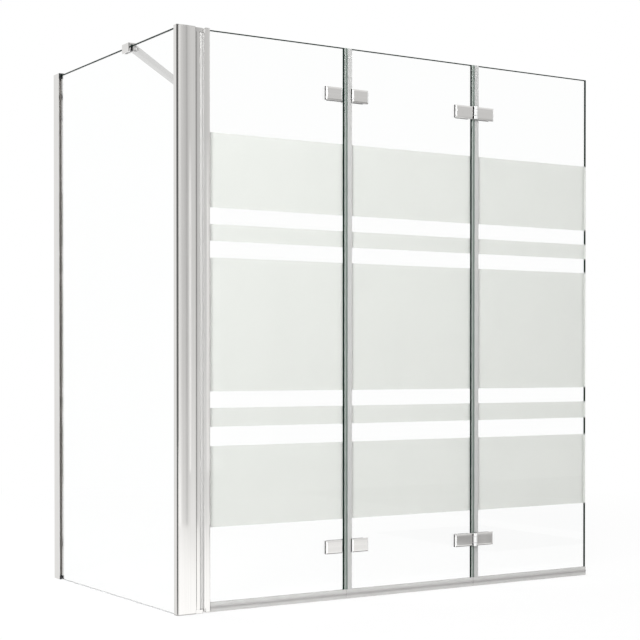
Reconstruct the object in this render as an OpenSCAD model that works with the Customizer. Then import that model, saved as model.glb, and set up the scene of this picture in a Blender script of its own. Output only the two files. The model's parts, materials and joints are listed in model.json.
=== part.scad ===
// Folding bath screen: a fixed side pane, a corner post and three hinged glass leaves.
// X runs along the front, Y runs back to the wall, Z runs up, all in millimetres.
// The origin lies on the bath rim, where the mid-planes of the side pane and the leaves cross.

/* [Overall] */
// Height of the leaves' top edge above the bath rim
screen_h = 1400; // [1300:10:1600]
// Distance from the leaves' mid-plane back to the wall
side_depth = 741; // [600:1:900]
// How far the side pane's top edge lies below the leaves' top edge
side_pane_drop = 3; // [0:0.5:10]

/* [Glass] */
// Thickness of every pane
glass_t = 6; // [5:0.5:8]
// Width of each folding leaf
leaf_w = 398; // [300:1:500]
// Clear gap between the glass edges of two leaves
leaf_gap = 10; // [9:0.5:12]
// Radius of the holes in the glass for the hinge screws
glass_hole_r = 5; // [4.5:0.1:7]

/* [Frosted bands] */
// Height of the lowest band's lower edge above the rim
band_base = 203.8; // [160:1:240]
// Height of the lowest and of the highest band
band_broad = 195.8; // [150:1:200]
// Height of the lower narrow band
band_narrow = 45.5; // [20:0.5:60]
// Height of the upper narrow band
band_slim = 40.4; // [20:0.1:60]
// Height of the middle band
band_middle = 322.9; // [250:1:330]
// Clear stripe under the lower narrow band
stripe_low = 46.6; // [30:0.1:55]
// Clear stripe between any other two bands
band_space = 40; // [30:0.5:50]
// Height of the highest band
band_top = 180.8; // [150:1:190]
// Thickness of the printed layer
print_t = 0.2; // [0.1:0.05:0.4]

/* [Corner post] */
// Width of the post along the front
post_w = 50; // [46:1:70]
// How far the post's outer side face lies outside the side pane's mid-plane
post_reach = 5; // [5:0.5:5.5]
// How far the post's front face lies before the leaves' mid-plane
post_front = 12.5; // [12:0.5:16]
// How far the post's back face lies behind the leaves' mid-plane
post_back = 6; // [6:0.5:12]
// Wall of the post
post_wall = 2; // [1.5:0.1:2.5]
// Radius of the post's outer front edge
post_edge_r = 4; // [1:0.5:6]
// Rise of the post's slightly bowed front face
post_crown = 0.8; // [0.3:0.1:1.5]
// Depth of the slot that holds the side pane
side_slot = 12; // [9:0.5:13]
// Thickness of the post's and the pivot profile's end caps
cap_t = 2; // [1:0.5:4]
// Length of the plugs under the post's caps
cap_plug = 14; // [8:1:30]

/* [Adjuster profile] */
// Depth of the slot in the post that the adjuster slides in
adjuster_slot = 24; // [18:1:25]
// Room left behind the adjuster in its slot
adjuster_room = 2; // [1:0.5:6]
// Shadow gap between the post and the adjuster's lip
adjuster_groove = 2; // [1:0.5:6]
// Width of the adjuster's visible lip
adjuster_lip = 9; // [9:0.5:16]
// Wall of the adjuster
adjuster_wall = 1.6; // [1.2:0.1:2]
// Fit between the adjuster and its slot
slide_fit = 0.2; // [0.1:0.05:0.4]
// Shank radius of the adjuster's lock screws
lock_screw_r = 2; // [1.5:0.1:2.5]
// Head radius of the adjuster's lock screws
lock_head_r = 4; // [3:0.1:5]
// Head height of the adjuster's lock screws
lock_head_h = 2; // [1:0.1:3]

/* [Pivot] */
// Radius of the round knuckle that leaf 1 turns on
pivot_r = 5; // [4.8:0.1:5.5]
// Radius of the bore through the knuckle
pivot_bore_r = 3.6; // [3.3:0.1:3.9]
// Radius of the pivot pins
pin_r = 2.5; // [2:0.1:2.8]
// Radial running clearance of every turning pin
run_fit = 0.05; // [0.02:0.01:0.09]
// Gap between the adjuster's lip and the knuckle
pivot_gap = 0.5; // [0.4:0.1:2]
// Height of the bearing blocks above and below the knuckle
bearing_h = 10; // [9:0.5:16]
// Length of the bushes in the knuckle
bush_l = 18; // [10:1:40]
// Thickness of the bushes' flanges
bush_flange = 0.8; // [0.5:0.1:2]
// Gap between faces that turn on each other
face_gap = 0.2; // [0.1:0.05:0.3]
// Shank radius of the screws in the bearing blocks
bearing_screw_r = 1.9; // [1.5:0.1:2.2]

/* [Pivot profile] */
// Width of the profile's solid web between its left face and the glass slot
holder_web = 8.8; // [7:0.1:14]
// Width of the part of the web that is notched for the bearing blocks
holder_notch = 5.3; // [3:0.1:6]
// Depth of the slot that holds leaf 1
holder_grip = 11; // [9:0.5:20]
// How far the profile's back lies behind the leaves' mid-plane
holder_back = 8; // [7:0.5:9]
// Radius of the profile's round front edge beside the glass
holder_nose_r = 6.8; // [2:0.1:7]
// Height of the profile's lower end above the rim
holder_rise = 1; // [0.5:0.5:4]
// Wall of the profile's hollow chambers
holder_wall = 1.8; // [1.4:0.1:2.2]

/* [Gaskets] */
// Thickness of the gaskets beside the glass in post and pivot profile
gasket_t = 1.2; // [0.8:0.1:1.5]
// How far those gaskets stand out of their profile
gasket_proud = 0.8; // [0.4:0.1:2]

/* [Wall channel] */
// Width of the wall channel
channel_w = 16; // [12:0.5:18]
// Depth of the wall channel
channel_d = 37; // [28:1:50]
// Side wall of the wall channel
channel_wall = 1.5; // [1.2:0.1:1.8]
// Back wall of the wall channel
channel_web = 2; // [1.5:0.1:4]
// How deep the side pane enters the wall channel
channel_grip = 24; // [15:1:26]
// Length of the black plugs at the channel's ends
plug_h = 10; // [8:0.5:30]
// Thickness of the plugs' lips over the channel's front edges
channel_lip = 1.5; // [1:0.1:3]
// How far the channel's gaskets sit behind its front edges
channel_set = 8; // [3:0.5:12]
// Gap between the pane and the return lip on the channel's inner side
channel_gap = 0.5; // [0.3:0.1:1]
// Radius of the wall screw holes
wall_hole_r = 2.75; // [2:0.05:3.2]
// Distance between the outer pair of wall screw holes
wall_holes_outer = 1200; // [900:10:1250]
// Distance between the inner pair of wall screw holes
wall_holes_inner = 400; // [200:10:700]
// Height of the middle of the wall screw holes
wall_holes_mid = 700; // [680:10:720]

/* [Bottom seals] */
// Height of the soft lips under the bottom seal's floor
seal_lip = 9; // [6:0.5:12]
// Thickness of the bottom seal's floor, which the glass stands in
seal_floor = 2; // [1:0.5:3]
// Height of the bottom seal's cheeks on the glass
seal_grip = 12.3; // [8:0.1:20]
// Wall of every seal's cheeks
seal_wall = 1.5; // [1:0.1:1.5]
// Thickness of the soft lips
lip_t = 1.1; // [0.8:0.1:1.5]
// How far the slanted inner lip reaches inwards past the glass face
lip_reach = 4; // [2:0.5:5]
// How far the drip bead stands out of the bottom seal's outer cheek
bead_out = 1.2; // [0.5:0.1:1.8]
// Height of the drip bead
bead_h = 5; // [3:0.5:10]
// Gap between the ends of two bottom seals
seal_meet = 0.8; // [0.6:0.1:4]

/* [Edge seals] */
// Width of the cheeks of the upright seals on the glass
edge_grip = 12; // [9:0.5:16]
// Gap between an upright seal's bulb and the next leaf's edge
edge_fit = 0.4; // [0.3:0.1:1]
// Wall of the bulb
bulb_wall = 0.9; // [0.6:0.1:1.5]

/* [Fold hinges] */
// Width of the hinges' clamp plates
plate_w = 50; // [46:1:70]
// How much shorter at their far end the plates on the inner face are
inner_short = 10; // [4:0.5:11]
// Height of the hinge plates
plate_h = 34; // [32:1:50]
// Thickness of the hinge plates
plate_t = 7; // [6.5:0.5:8]
// Width of the bevel around the plates' outer face
bevel_w = 4; // [1:0.5:5]
// Depth of that bevel
bevel_d = 2.5; // [0.5:0.5:3]
// Distance from the fold axis to the near end of the cover plates
cover_inset = 14.5; // [12:0.5:20]
// Thickness of the pads between plates and glass
pad_t = 1; // [0.8:0.1:2]
// Radius of the hinge knuckles
knuckle_r = 6.5; // [6:0.1:7.2]
// Gap between a knuckle and the plate beside it
knuckle_gap = 0.5; // [0.4:0.1:1]
// Gap between the plates' face and the plane of the fold axis
axis_rise = 0.5; // [0.4:0.1:1]
// Height of each of the two outer knuckle lugs
lug_h = 9; // [8:0.5:11]
// Gap between lugs, which holds a washer
lug_gap = 0.6; // [0.4:0.1:1]
// Thickness of the washers between the lugs
washer_t = 0.4; // [0.2:0.05:0.5]
// Radius of the hinge pins
hinge_pin_r = 3; // [2:0.1:3.5]
// How far the hinge pins' ends stand out of the lugs
pin_proud = 0.5; // [0.2:0.1:1]
// Distance between the two screws of a plate
screw_pitch = 20; // [18:1:21]
// Shank radius of the hinge screws
screw_r = 3; // [2:0.1:3.2]
// Head radius of the hinge screws
screw_head_r = 5.5; // [4.5:0.1:6]
// Distance of hinge 1's upper hinges below the leaves' top edge
hinge_1_drop = 120; // [60:1:200]
// Height of hinge 1's lower hinges above the rim
hinge_1_rise = 134.5; // [60:0.5:170]
// Distance of hinge 2's upper hinges below the leaves' top edge
hinge_2_drop = 129; // [60:1:200]
// Height of hinge 2's lower hinges above the rim
hinge_2_rise = 126; // [60:0.5:170]

/* [Stabiliser bar] */
// Side of the square bar
bar_s = 16; // [15:0.5:20]
// Wall of the bar
bar_wall = 1.5; // [1:0.1:2]
// Angle of the bar to the front, seen from above
bar_angle = 50; // [40:1:60]
// Height of the bar's centre below the leaves' top edge
bar_drop = 7; // [6:0.5:7.5]
// Distance of the clamp's middle behind the leaves' mid-plane
clamp_y = 265; // [200:1:320]
// Length of the clamp along the pane
clamp_l = 42; // [40:1:60]
// Thickness of the clamp's cheeks and top
clamp_wall = 5; // [5:0.5:8]
// Height of the clamp on the glass
clamp_grip = 15; // [15:0.5:25]
// Thickness of the liner between clamp and glass
liner_t = 2; // [0.8:0.1:2]
// Distance of the bar's pivot inside the clamp's cheek
clamp_pivot_out = 9; // [9:0.5:14]
// Thickness of the lugs in the bar's forks
lug_t = 6; // [4:0.5:7]
// Length of the forks from pivot to shoulder
fork_l = 22; // [20:1:40]
// Length of the forks' plugs in the bar
fork_plug = 25; // [10:1:50]
// Radius of the bar's pivot screws and the clamp's set screws
bar_screw_r = 2.5; // [2:0.1:3]
// Distance between the clamp's two set screws
set_screw_pitch = 26; // [24:1:30]

/* [Wall bracket] */
// Width of the bracket's foot plate
bracket_w = 30; // [24:1:50]
// Height of the foot plate
bracket_h = 60; // [56:1:90]
// Thickness of the foot plate
bracket_t = 4; // [3:0.5:6]
// Distance of the bar's pivot from the foot plate
bracket_out = 14; // [13:0.5:20]
// Distance between the bracket's screw holes
bracket_holes = 40; // [38:1:44]

/* [Hidden] */
$fn = 48;
eps = 0.02;
half_glass = glass_t / 2;
top_z = screen_h + cap_t;
side_top = screen_h - side_pane_drop;

// Places along the front
post_x0 = -post_reach;
post_x1 = post_w - post_reach;
slot_x0 = post_x1 - adjuster_slot;
lip_x0 = post_x1 + adjuster_groove;
lip_x1 = lip_x0 + adjuster_lip;
lip_front = post_front - post_crown;
lip_back = post_back - 0.5;
pivot_x = lip_x1 + pivot_gap + pivot_r;
pivot_y = pivot_r - lip_front;
holder_x0 = pivot_x + pivot_r + face_gap;
notch_x = holder_x0 + holder_notch;
grip_x0 = holder_x0 + holder_web;
holder_x1 = grip_x0 + holder_grip;
seat_gap = 0.5;
leaf_1_x = grip_x0 + seat_gap;
leaf_pitch = leaf_w + leaf_gap;
function leaf_x(n) = leaf_1_x + (n - 1) * leaf_pitch;
function fold_x(n) = leaf_x(n + 1) - leaf_gap / 2;

// Heights
leaf_z0 = seal_lip + seal_floor;
seal_top = leaf_z0 + seal_grip;
knuckle_z0 = bearing_h + face_gap + bush_flange;
knuckle_z1 = screen_h - knuckle_z0;
bar_z = screen_h - bar_drop;
function hinge_z(n) = n == 1 ? [hinge_1_rise, screen_h - hinge_1_drop]
                             : [hinge_2_rise, screen_h - hinge_2_drop];

// Hinge geometry, measured out from the leaves' mid-plane
plate_v0 = half_glass + pad_t;
plate_v1 = plate_v0 + plate_t;
fold_v = plate_v1 + axis_rise;
inner_u = knuckle_r + knuckle_gap;
outer_u = cover_inset + plate_w;
function far_u(inside) = inside ? outer_u - inner_short : outer_u;
screw_mid_u = (cover_inset + far_u(true)) / 2;
screw_us = [screw_mid_u - screw_pitch / 2, screw_mid_u + screw_pitch / 2];
head_h = screw_head_r - screw_r;
screw_tip = 1.5;
socket_r = screw_r * 0.7;
mid_lug_h = plate_h - 2 * lug_h - 2 * lug_gap;

// The side pane and the bar
channel_y0 = side_depth - channel_d;
pane_y0 = post_back - side_slot + 1;
pane_y1 = channel_y0 + channel_grip;
sill_t = cap_t;
clamp_x = half_glass + liner_t + clamp_wall;
bar_x0 = clamp_x + clamp_pivot_out;
bar_y1 = side_depth - bracket_t - bracket_out;
bar_len = (bar_y1 - clamp_y) / sin(bar_angle);
bar_x1 = bar_x0 + bar_len * cos(bar_angle);
bar_head_h = 3;

// Frosted bands, from the lowest up: lower edge and height of each
band_hs = [band_broad, band_narrow, band_middle, band_slim, band_top];
function stripe(i) = i == 1 ? stripe_low : band_space;
function band_z(i) = i == 0 ? band_base : band_z(i - 1) + band_hs[i - 1] + stripe(i);

steel_c = [0.72, 0.73, 0.75];
chrome_c = [0.86, 0.87, 0.88];
alu_c = [0.8, 0.8, 0.8];
glass_c = [0.8, 0.92, 0.88, 0.35];
print_c = [0.91, 0.92, 0.9, 0.9];
seal_c = [0.78, 0.79, 0.78, 0.7];
black_c = [0.1, 0.1, 0.1];
grey_c = [0.35, 0.35, 0.35];

// ---- Helpers ----

// A box between two opposite corners.
module span(a, b) {
    translate(a)
        cube(b - a);
}

// A rectangle between two opposite corners.
module area(a, b) {
    translate(a)
        square(b - a);
}

// A profile drawn in X and Y, run from one height to another.
module run(z0, z1) {
    translate([0, 0, z0])
        linear_extrude(z1 - z0)
            children();
}

// The sliver that rounds a corner when it is cut away: the solid lies in the quadrant at `turn`.
module corner_sliver(x, y, r, turn) {
    translate([x, y])
        rotate(turn)
            difference() {
                translate([-1, -1])
                    square(r + 1);
                translate([r, r])
                    circle(r);
            }
}

// An outline drawn in Y and Z, run along X from x0 to x1.
module run_along_x(x0, x1) {
    translate([x0, 0, 0])
        rotate([90, 0, 90])
            linear_extrude(x1 - x0)
                children();
}

// A cylinder along Y from y0 to y1.
module rod_y(r, y0, y1) {
    translate([0, y1, 0])
        rotate([90, 0, 0])
            cylinder(r = r, h = y1 - y0);
}

// A cylinder along Z from z0 to z1.
module rod_z(r, z0, z1) {
    translate([0, 0, z0])
        cylinder(r = r, h = z1 - z0);
}

// Repeats its children at the corner between leaf n and leaf n + 1, at both hinge heights.
// `right` picks the leaf to the right of the joint and `inside` the face towards the bath.
module at_hinges(n, right, inside) {
    for (z = hinge_z(n))
        translate([fold_x(n), 0, z])
            mirror([right ? 0 : 1, 0, 0])
                mirror([0, inside ? 0 : 1, 0])
                    children();
}

// ---- Wall channel and side pane ----

module channel_section() {
    half = channel_w / 2;
    difference() {
        area([-half, channel_y0], [half, side_depth]);
        area([channel_wall - half, channel_y0 - 1],
             [half_glass + channel_gap, channel_y0 + channel_wall + 1]);
        area([channel_wall - half, channel_y0 + channel_wall],
             [half - channel_wall, side_depth - channel_web]);
    }
}

module wall_channel() {
    color(alu_c)
        difference() {
            run(0, top_z)
                channel_section();
            for (pitch = [wall_holes_outer, wall_holes_inner])
                for (side = [-1, 1])
                    translate([0, 0, wall_holes_mid + side * pitch / 2])
                        rod_y(wall_hole_r, side_depth - channel_web - 1, side_depth + 1);
        }
}

// One strip of gasket on one side of the pane, pushed into the channel.
module channel_gasket_section() {
    area([half_glass, channel_y0 + channel_set],
         [channel_w / 2 - channel_wall, channel_y0 + channel_grip - 4]);
}

module wall_channel_gaskets() {
    color(grey_c)
        for (side = [0, 1])
            mirror([side, 0, 0])
                run(plug_h, side_top - plug_h)
                    channel_gasket_section();
}

module channel_plug(z0, z1) {
    inner = channel_w / 2 - channel_wall;
    difference() {
        union() {
            run(z0, z1) {
                area([-inner, channel_y0], [half_glass, pane_y1 + 2]);
                area([-inner, channel_y0 + channel_wall], [inner, pane_y1 + 2]);
            }
            run(z0, z1)
                area([-channel_w / 2, channel_y0 - channel_lip], [channel_w / 2, channel_y0]);
        }
        span([-half_glass, channel_y0 - channel_lip - 1, sill_t], [half_glass, pane_y1, side_top]);
    }
}

module wall_channel_caps() {
    color(black_c) {
        channel_plug(side_top - plug_h, top_z);
        channel_plug(0, plug_h);
    }
}

module side_glass() {
    color(glass_c)
        span([-half_glass, pane_y0, sill_t], [half_glass, pane_y1, side_top]);
}

module side_sill_strip() {
    color(seal_c)
        span([-half_glass, post_back, 0], [half_glass, channel_y0 - channel_lip, sill_t]);
}

// ---- Corner post ----

// The post's outer outline, with its rounded outer edge and slightly bowed front.
module post_outline() {
    half = post_w / 2;
    bow_r = (half * half + post_crown * post_crown) / (2 * post_crown);
    intersection() {
        difference() {
            area([post_x0, -post_front], [post_x1, post_back]);
            corner_sliver(post_x0, -lip_front, post_edge_r, 0);
            corner_sliver(post_x0, post_back, 1, 270);
            corner_sliver(post_x1, post_back, 1, 180);
        }
        translate([post_x0 + half, bow_r - post_front])
            circle(bow_r, $fn = 360);
    }
}

// The post's chamber behind the cover face, which the caps plug into.
module post_chamber(inset) {
    area([half_glass + gasket_t + post_wall + inset, -post_front + post_wall + inset],
         [slot_x0 - post_wall - inset, post_back - post_wall - inset]);
}

module post_section() {
    glass_slot = half_glass + gasket_t;
    difference() {
        post_outline();
        area([-glass_slot, post_back - side_slot], [glass_slot, post_back + 1]);
        post_chamber(0);
        area([slot_x0, -post_front + post_wall], [post_x1 + 1, post_back - post_wall]);
    }
}

lock_x = post_x1 - 10;
lock_zs = [for (k = [1, 3, 5]) screen_h * k / 6];

module corner_post() {
    color(chrome_c)
        difference() {
            run(cap_t, screen_h)
                post_section();
            for (z = lock_zs)
                translate([lock_x, 0, z])
                    rod_y(lock_screw_r, 0, post_back + 1);
        }
}

module post_cap(z0, plug_z0) {
    run(z0, z0 + cap_t)
        post_outline();
    run(plug_z0, plug_z0 + cap_plug)
        post_chamber(slide_fit);
}

module post_top_cap() {
    color(chrome_c)
        post_cap(screen_h, screen_h - cap_plug);
}

module post_foot_cap() {
    color(chrome_c)
        post_cap(0, cap_t);
}

module post_gaskets() {
    color(seal_c)
        for (side = [0, 1])
            mirror([side, 0, 0])
                run(cap_t, screen_h)
                    area([half_glass, pane_y0], [half_glass + gasket_t, post_back + gasket_proud]);
}

// ---- Adjuster profile ----

adjuster_y0 = -post_front + post_wall + slide_fit;
adjuster_y1 = post_back - post_wall - slide_fit;
port_x = lip_x0 + adjuster_lip / 2;
port_y = (lip_back - lip_front) / 2;

module adjuster_section() {
    w = adjuster_wall;
    difference() {
        union() {
            area([slot_x0 + adjuster_room, adjuster_y0], [lip_x0 + w, adjuster_y1]);
            area([lip_x0, -lip_front], [lip_x1, lip_back]);
        }
        area([slot_x0 + adjuster_room + w, adjuster_y0 + w], [lip_x0, adjuster_y1 - w]);
        difference() {
            area([lip_x0 + w, -lip_front + w], [lip_x1 - w, lip_back - w]);
            translate([port_x, port_y])
                circle(adjuster_lip / 2 - w / 2);
        }
        translate([port_x, port_y])
            circle(bearing_screw_r);
    }
}

module adjuster_profile() {
    color(chrome_c)
        difference() {
            run(bearing_h, screen_h - bearing_h)
                adjuster_section();
            for (z = lock_zs)
                translate([lock_x, 0, z])
                    rod_y(lock_screw_r, 0, post_back + 1);
        }
}

module adjuster_screws() {
    tip = adjuster_y1 - adjuster_wall - 1;
    color(steel_c)
        for (z = lock_zs)
            translate([lock_x, 0, z]) {
                rod_y(lock_screw_r, tip, post_back);
                difference() {
                    rod_y(lock_head_r, post_back, post_back + lock_head_h);
                    for (turn = [0, 90])
                        rotate([0, turn, 0])
                            span([-lock_head_r * 0.55, post_back + lock_head_h / 2, -0.5],
                                 [lock_head_r * 0.55, post_back + lock_head_h + 1, 0.5]);
                }
            }
}

// ---- Pivot of leaf 1 ----

// A bearing block seen from above: a foot on the adjuster and a round arm over the knuckle.
module bearing_outline() {
    area([post_x1 + face_gap, -lip_front], [lip_x1, lip_back]);
    area([lip_x1 - eps, pivot_y - pivot_r], [pivot_x, pivot_y + pivot_r]);
    translate([pivot_x, pivot_y])
        circle(pivot_r);
}

bearing_head_h = 2;
bearing_head_r = bearing_screw_r + bearing_head_h;
pin_l = bearing_h - 2 + bush_l;

// The upper bearing block. The lower one is its mirror image.
module bearing_block() {
    difference() {
        run(screen_h - bearing_h, screen_h)
            bearing_outline();
        translate([pivot_x, pivot_y, 0])
            rod_z(pin_r, screen_h - bearing_h - 1, screen_h - 2);
        translate([port_x, port_y, 0])
            bearing_screw_shape();
    }
}

// A countersunk screw down through the upper block into the adjuster's port.
module bearing_screw_shape() {
    rod_z(bearing_screw_r, screen_h - bearing_h - 14, screen_h - eps);
    translate([0, 0, screen_h - bearing_head_h])
        cylinder(r1 = bearing_screw_r, r2 = bearing_head_r, h = bearing_head_h);
}

// Turns what belongs to the top end over to the bottom end.
module lower_end() {
    translate([0, 0, screen_h])
        mirror([0, 0, 1])
            children();
}

module pivot_bearing_top() {
    color(chrome_c)
        bearing_block();
}

module pivot_bearing_bottom() {
    color(chrome_c)
        lower_end()
            bearing_block();
}

module bearing_screw() {
    translate([port_x, port_y, 0])
        difference() {
            bearing_screw_shape();
            rod_z(bearing_screw_r * 0.75, screen_h - 1.4, screen_h + 1, $fn = 6);
        }
}

module bearing_screws() {
    color(steel_c) {
        bearing_screw();
        lower_end()
            bearing_screw();
    }
}

module pivot_pin() {
    translate([pivot_x, pivot_y, 0])
        rod_z(pin_r, screen_h - 2 - pin_l, screen_h - 2);
}

module pivot_pins() {
    color(steel_c) {
        pivot_pin();
        lower_end()
            pivot_pin();
    }
}

// The profile that clamps leaf 1: a round knuckle, a neck, and a holder around the glass.
module pivot_section() {
    slot = half_glass + gasket_t;
    w = holder_wall;
    neck = pivot_r / 2;
    difference() {
        union() {
            translate([pivot_x, pivot_y])
                circle(pivot_r);
            area([pivot_x, pivot_y - neck], [holder_x0 + eps, pivot_y + neck]);
            holder_outline();
        }
        translate([pivot_x, pivot_y])
            circle(pivot_bore_r);
        area([grip_x0, -slot], [holder_x1 + 1, slot]);
        area([holder_x0 + w, -lip_front + w], [grip_x0 - w, holder_back - w]);
    }
}

module holder_outline() {
    back_r = holder_back - half_glass - gasket_t - 0.8;
    difference() {
        area([holder_x0, -lip_front], [holder_x1, holder_back]);
        corner_sliver(holder_x1, -lip_front, holder_nose_r, 90);
        corner_sliver(holder_x0, -lip_front, 1, 0);
        corner_sliver(holder_x1, holder_back, back_r, 180);
        corner_sliver(holder_x0, holder_back, 1, 270);
    }
}

module pivot_profile() {
    below = [pivot_x - pivot_r - 1, -lip_front - 1, 0];
    above = [notch_x, holder_back + 1, 0];
    color(chrome_c)
        difference() {
            run(holder_rise + cap_t, screen_h)
                pivot_section();
            span(below, above + [0, 0, knuckle_z0]);
            span(below + [0, 0, knuckle_z1], above + [0, 0, top_z]);
        }
}

module pivot_profile_caps() {
    color(chrome_c)
        for (z = [holder_rise, screen_h])
            intersection() {
                run(z, z + cap_t)
                    holder_outline();
                span([notch_x, -lip_front - 1, -1], [holder_x1 + 1, holder_back + 1, top_z + 1]);
            }
}

// The upper flanged bush, pressed in the knuckle's bore.
module pivot_bush() {
    translate([pivot_x, pivot_y, 0])
        difference() {
            union() {
                rod_z(pivot_bore_r, knuckle_z1 - bush_l + bush_flange, knuckle_z1);
                rod_z(pivot_r, knuckle_z1, knuckle_z1 + bush_flange);
            }
            rod_z(pin_r + run_fit, knuckle_z1 - bush_l, screen_h);
        }
}

module pivot_bushes() {
    color(black_c) {
        pivot_bush();
        lower_end()
            pivot_bush();
    }
}

module leaf_1_gasket() {
    color(seal_c)
        run(leaf_z0, screen_h)
            difference() {
                area([grip_x0, -half_glass - gasket_t], [holder_x1 + gasket_proud, half_glass + gasket_t]);
                area([leaf_1_x, -half_glass], [holder_x1 + gasket_proud + 1, half_glass]);
            }
}

// ---- Leaves ----

// The holes for the hinge screws of the joint n at one side of a leaf.
module glass_holes(n, right) {
    at_hinges(n, right, true)
        for (u = screw_us)
            translate([u, 0, 0])
                rod_y(glass_hole_r, -glass_t, glass_t);
}

module leaf_pane(n) {
    difference() {
        span([leaf_x(n), -half_glass, leaf_z0], [leaf_x(n) + leaf_w, half_glass, screen_h]);
        if (n < 3)
            glass_holes(n, false);
        if (n > 1)
            glass_holes(n - 1, true);
    }
}

// The frosted bands of leaf n, a thin layer on its inner face.
module leaf_print(n) {
    x0 = n == 1 ? holder_x1 + gasket_proud + 0.2 : leaf_x(n) + edge_grip + 0.2;
    for (i = [0 : len(band_hs) - 1])
        span([x0, half_glass, band_z(i)],
             [leaf_x(n) + leaf_w - 0.5, half_glass + print_t, band_z(i) + band_hs[i]]);
}

// The bottom seal in Y and Z: cheeks, floor, an outer drip bead and two soft lips.
module bottom_seal_section() {
    out = half_glass + seal_wall;
    bead_z0 = seal_lip + 1.3;
    bead_z1 = bead_z0 + bead_h;
    difference() {
        polygon([[-out, 0], [-out + lip_t, 0], [-out + lip_t, seal_lip],
                 [half_glass - lip_t, seal_lip], [half_glass + lip_reach - lip_t, 0],
                 [half_glass + lip_reach, 0], [half_glass, seal_lip],
                 [out, seal_lip], [out, seal_top], [-out, seal_top],
                 [-out, bead_z1], [-out - bead_out, bead_z1 - bead_out / 2],
                 [-out - bead_out, bead_z0 + bead_out / 2], [-out, bead_z0]]);
        area([-half_glass, leaf_z0], [half_glass, seal_top + 1]);
    }
}

// The bottom seals run on past the glass and nearly meet in the plane of each fold axis.
module leaf_bottom_seal(n) {
    x0 = n == 1 ? holder_x1 + gasket_proud + face_gap : fold_x(n - 1) + seal_meet / 2;
    x1 = n == 3 ? leaf_x(n) + leaf_w : fold_x(n) - seal_meet / 2;
    run_along_x(x0, x1)
        bottom_seal_section();
}

// The upright seal on the left edge of a leaf, from above: cheeks, floor and a hollow bulb.
module edge_seal_section() {
    out = half_glass + seal_wall;
    bulb_r = (leaf_gap - seal_wall - edge_fit) / 2;
    bulb_x = -seal_wall - bulb_r;
    difference() {
        union() {
            area([-seal_wall, -out], [edge_grip, out]);
            translate([bulb_x + 0.1, 0])
                circle(bulb_r);
        }
        area([0, -half_glass], [edge_grip + 1, half_glass]);
        translate([bulb_x + 0.1, 0])
            circle(bulb_r - bulb_wall);
    }
}

// The upright seal of leaf n + 1, cut back beside the plates of hinge n.
module leaf_edge_seal(n, knuckle_inside) {
    half = plate_h / 2 + 0.5;
    difference() {
        translate([leaf_x(n + 1), 0, 0])
            run(seal_top + face_gap, screen_h)
                edge_seal_section();
        at_hinges(n, true, knuckle_inside) {
            span([inner_u - 0.5, half_glass, -half], [outer_u, plate_v1, half]);
            span([cover_inset - 0.3, -plate_v1, -half], [outer_u, -half_glass, half]);
        }
    }
}

// ---- Fold hinges, drawn with u along the leaf and v out of its face ----

// A plate from u0 to the far end, with its outer face bevelled on the sides that show.
module bevelled_plate(u0, near_bevel, inside) {
    half = plate_h / 2;
    u1 = far_u(inside);
    near = near_bevel ? bevel_w : 0;
    near_d = near_bevel ? bevel_d : 0;
    intersection() {
        run(-half, half)
            polygon([[u0, plate_v0], [u1, plate_v0], [u1, plate_v1 - bevel_d],
                     [u1 - bevel_w, plate_v1], [u0 + near, plate_v1], [u0, plate_v1 - near_d]]);
        run_along_x(u0 - 1, u1 + 1)
            polygon([[plate_v0, -half], [plate_v1 - bevel_d, -half], [plate_v1, bevel_w - half],
                     [plate_v1, half - bevel_w], [plate_v1 - bevel_d, half], [plate_v0, half]]);
    }
}

// A hinge screw with its countersunk head on the inner side, at one place along the leaf.
module hinge_screw_shape() {
    rod_y(screw_r, screw_tip - plate_v1, plate_v1);
    translate([0, plate_v1, 0])
        rotate([90, 0, 0])
            cylinder(r1 = screw_head_r, r2 = screw_r, h = head_h);
}

// Cuts the screw holes of a plate: `inside` tells which side of the glass the plate is on.
module screwed_plate(inside) {
    difference() {
        children();
        for (u = screw_us)
            translate([u, 0, 0])
                mirror([0, inside ? 0 : 1, 0])
                    hinge_screw_shape();
    }
}

module cover_plate(inside) {
    screwed_plate(inside)
        bevelled_plate(cover_inset, true, inside);
}

// A lug of the knuckle between two heights, reaching back to its plate.
module lug(z0, z1, bore_r) {
    difference() {
        union() {
            translate([0, fold_v, 0])
                rod_z(knuckle_r, z0, z1);
            span([0, fold_v - knuckle_r, z0], [inner_u + eps, plate_v1 - bevel_d, z1]);
        }
        translate([0, fold_v, 0])
            rod_z(bore_r, z0 - 1, z1 + 1);
    }
}

// The knuckle plate with the two outer lugs.
module fixed_plate(inside) {
    half = plate_h / 2;
    screwed_plate(inside)
        bevelled_plate(inner_u, false, inside);
    lug(-half, lug_h - half, hinge_pin_r);
    lug(half - lug_h, half, hinge_pin_r);
}

// The knuckle plate with the middle lug, which runs on the pin.
module moving_plate(inside) {
    screwed_plate(inside)
        bevelled_plate(inner_u, false, inside);
    lug(-mid_lug_h / 2, mid_lug_h / 2, hinge_pin_r + run_fit);
}

module hinge_pin() {
    reach = plate_h / 2 + pin_proud;
    translate([0, fold_v, 0])
        rod_z(hinge_pin_r, -reach, reach);
}

module hinge_washers() {
    for (side = [-1, 1])
        translate([0, fold_v, side * (mid_lug_h + lug_gap) / 2])
            difference() {
                rod_z(knuckle_r - 0.5, -washer_t / 2, washer_t / 2);
                rod_z(hinge_pin_r + run_fit, -1, 1);
            }
}

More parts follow.
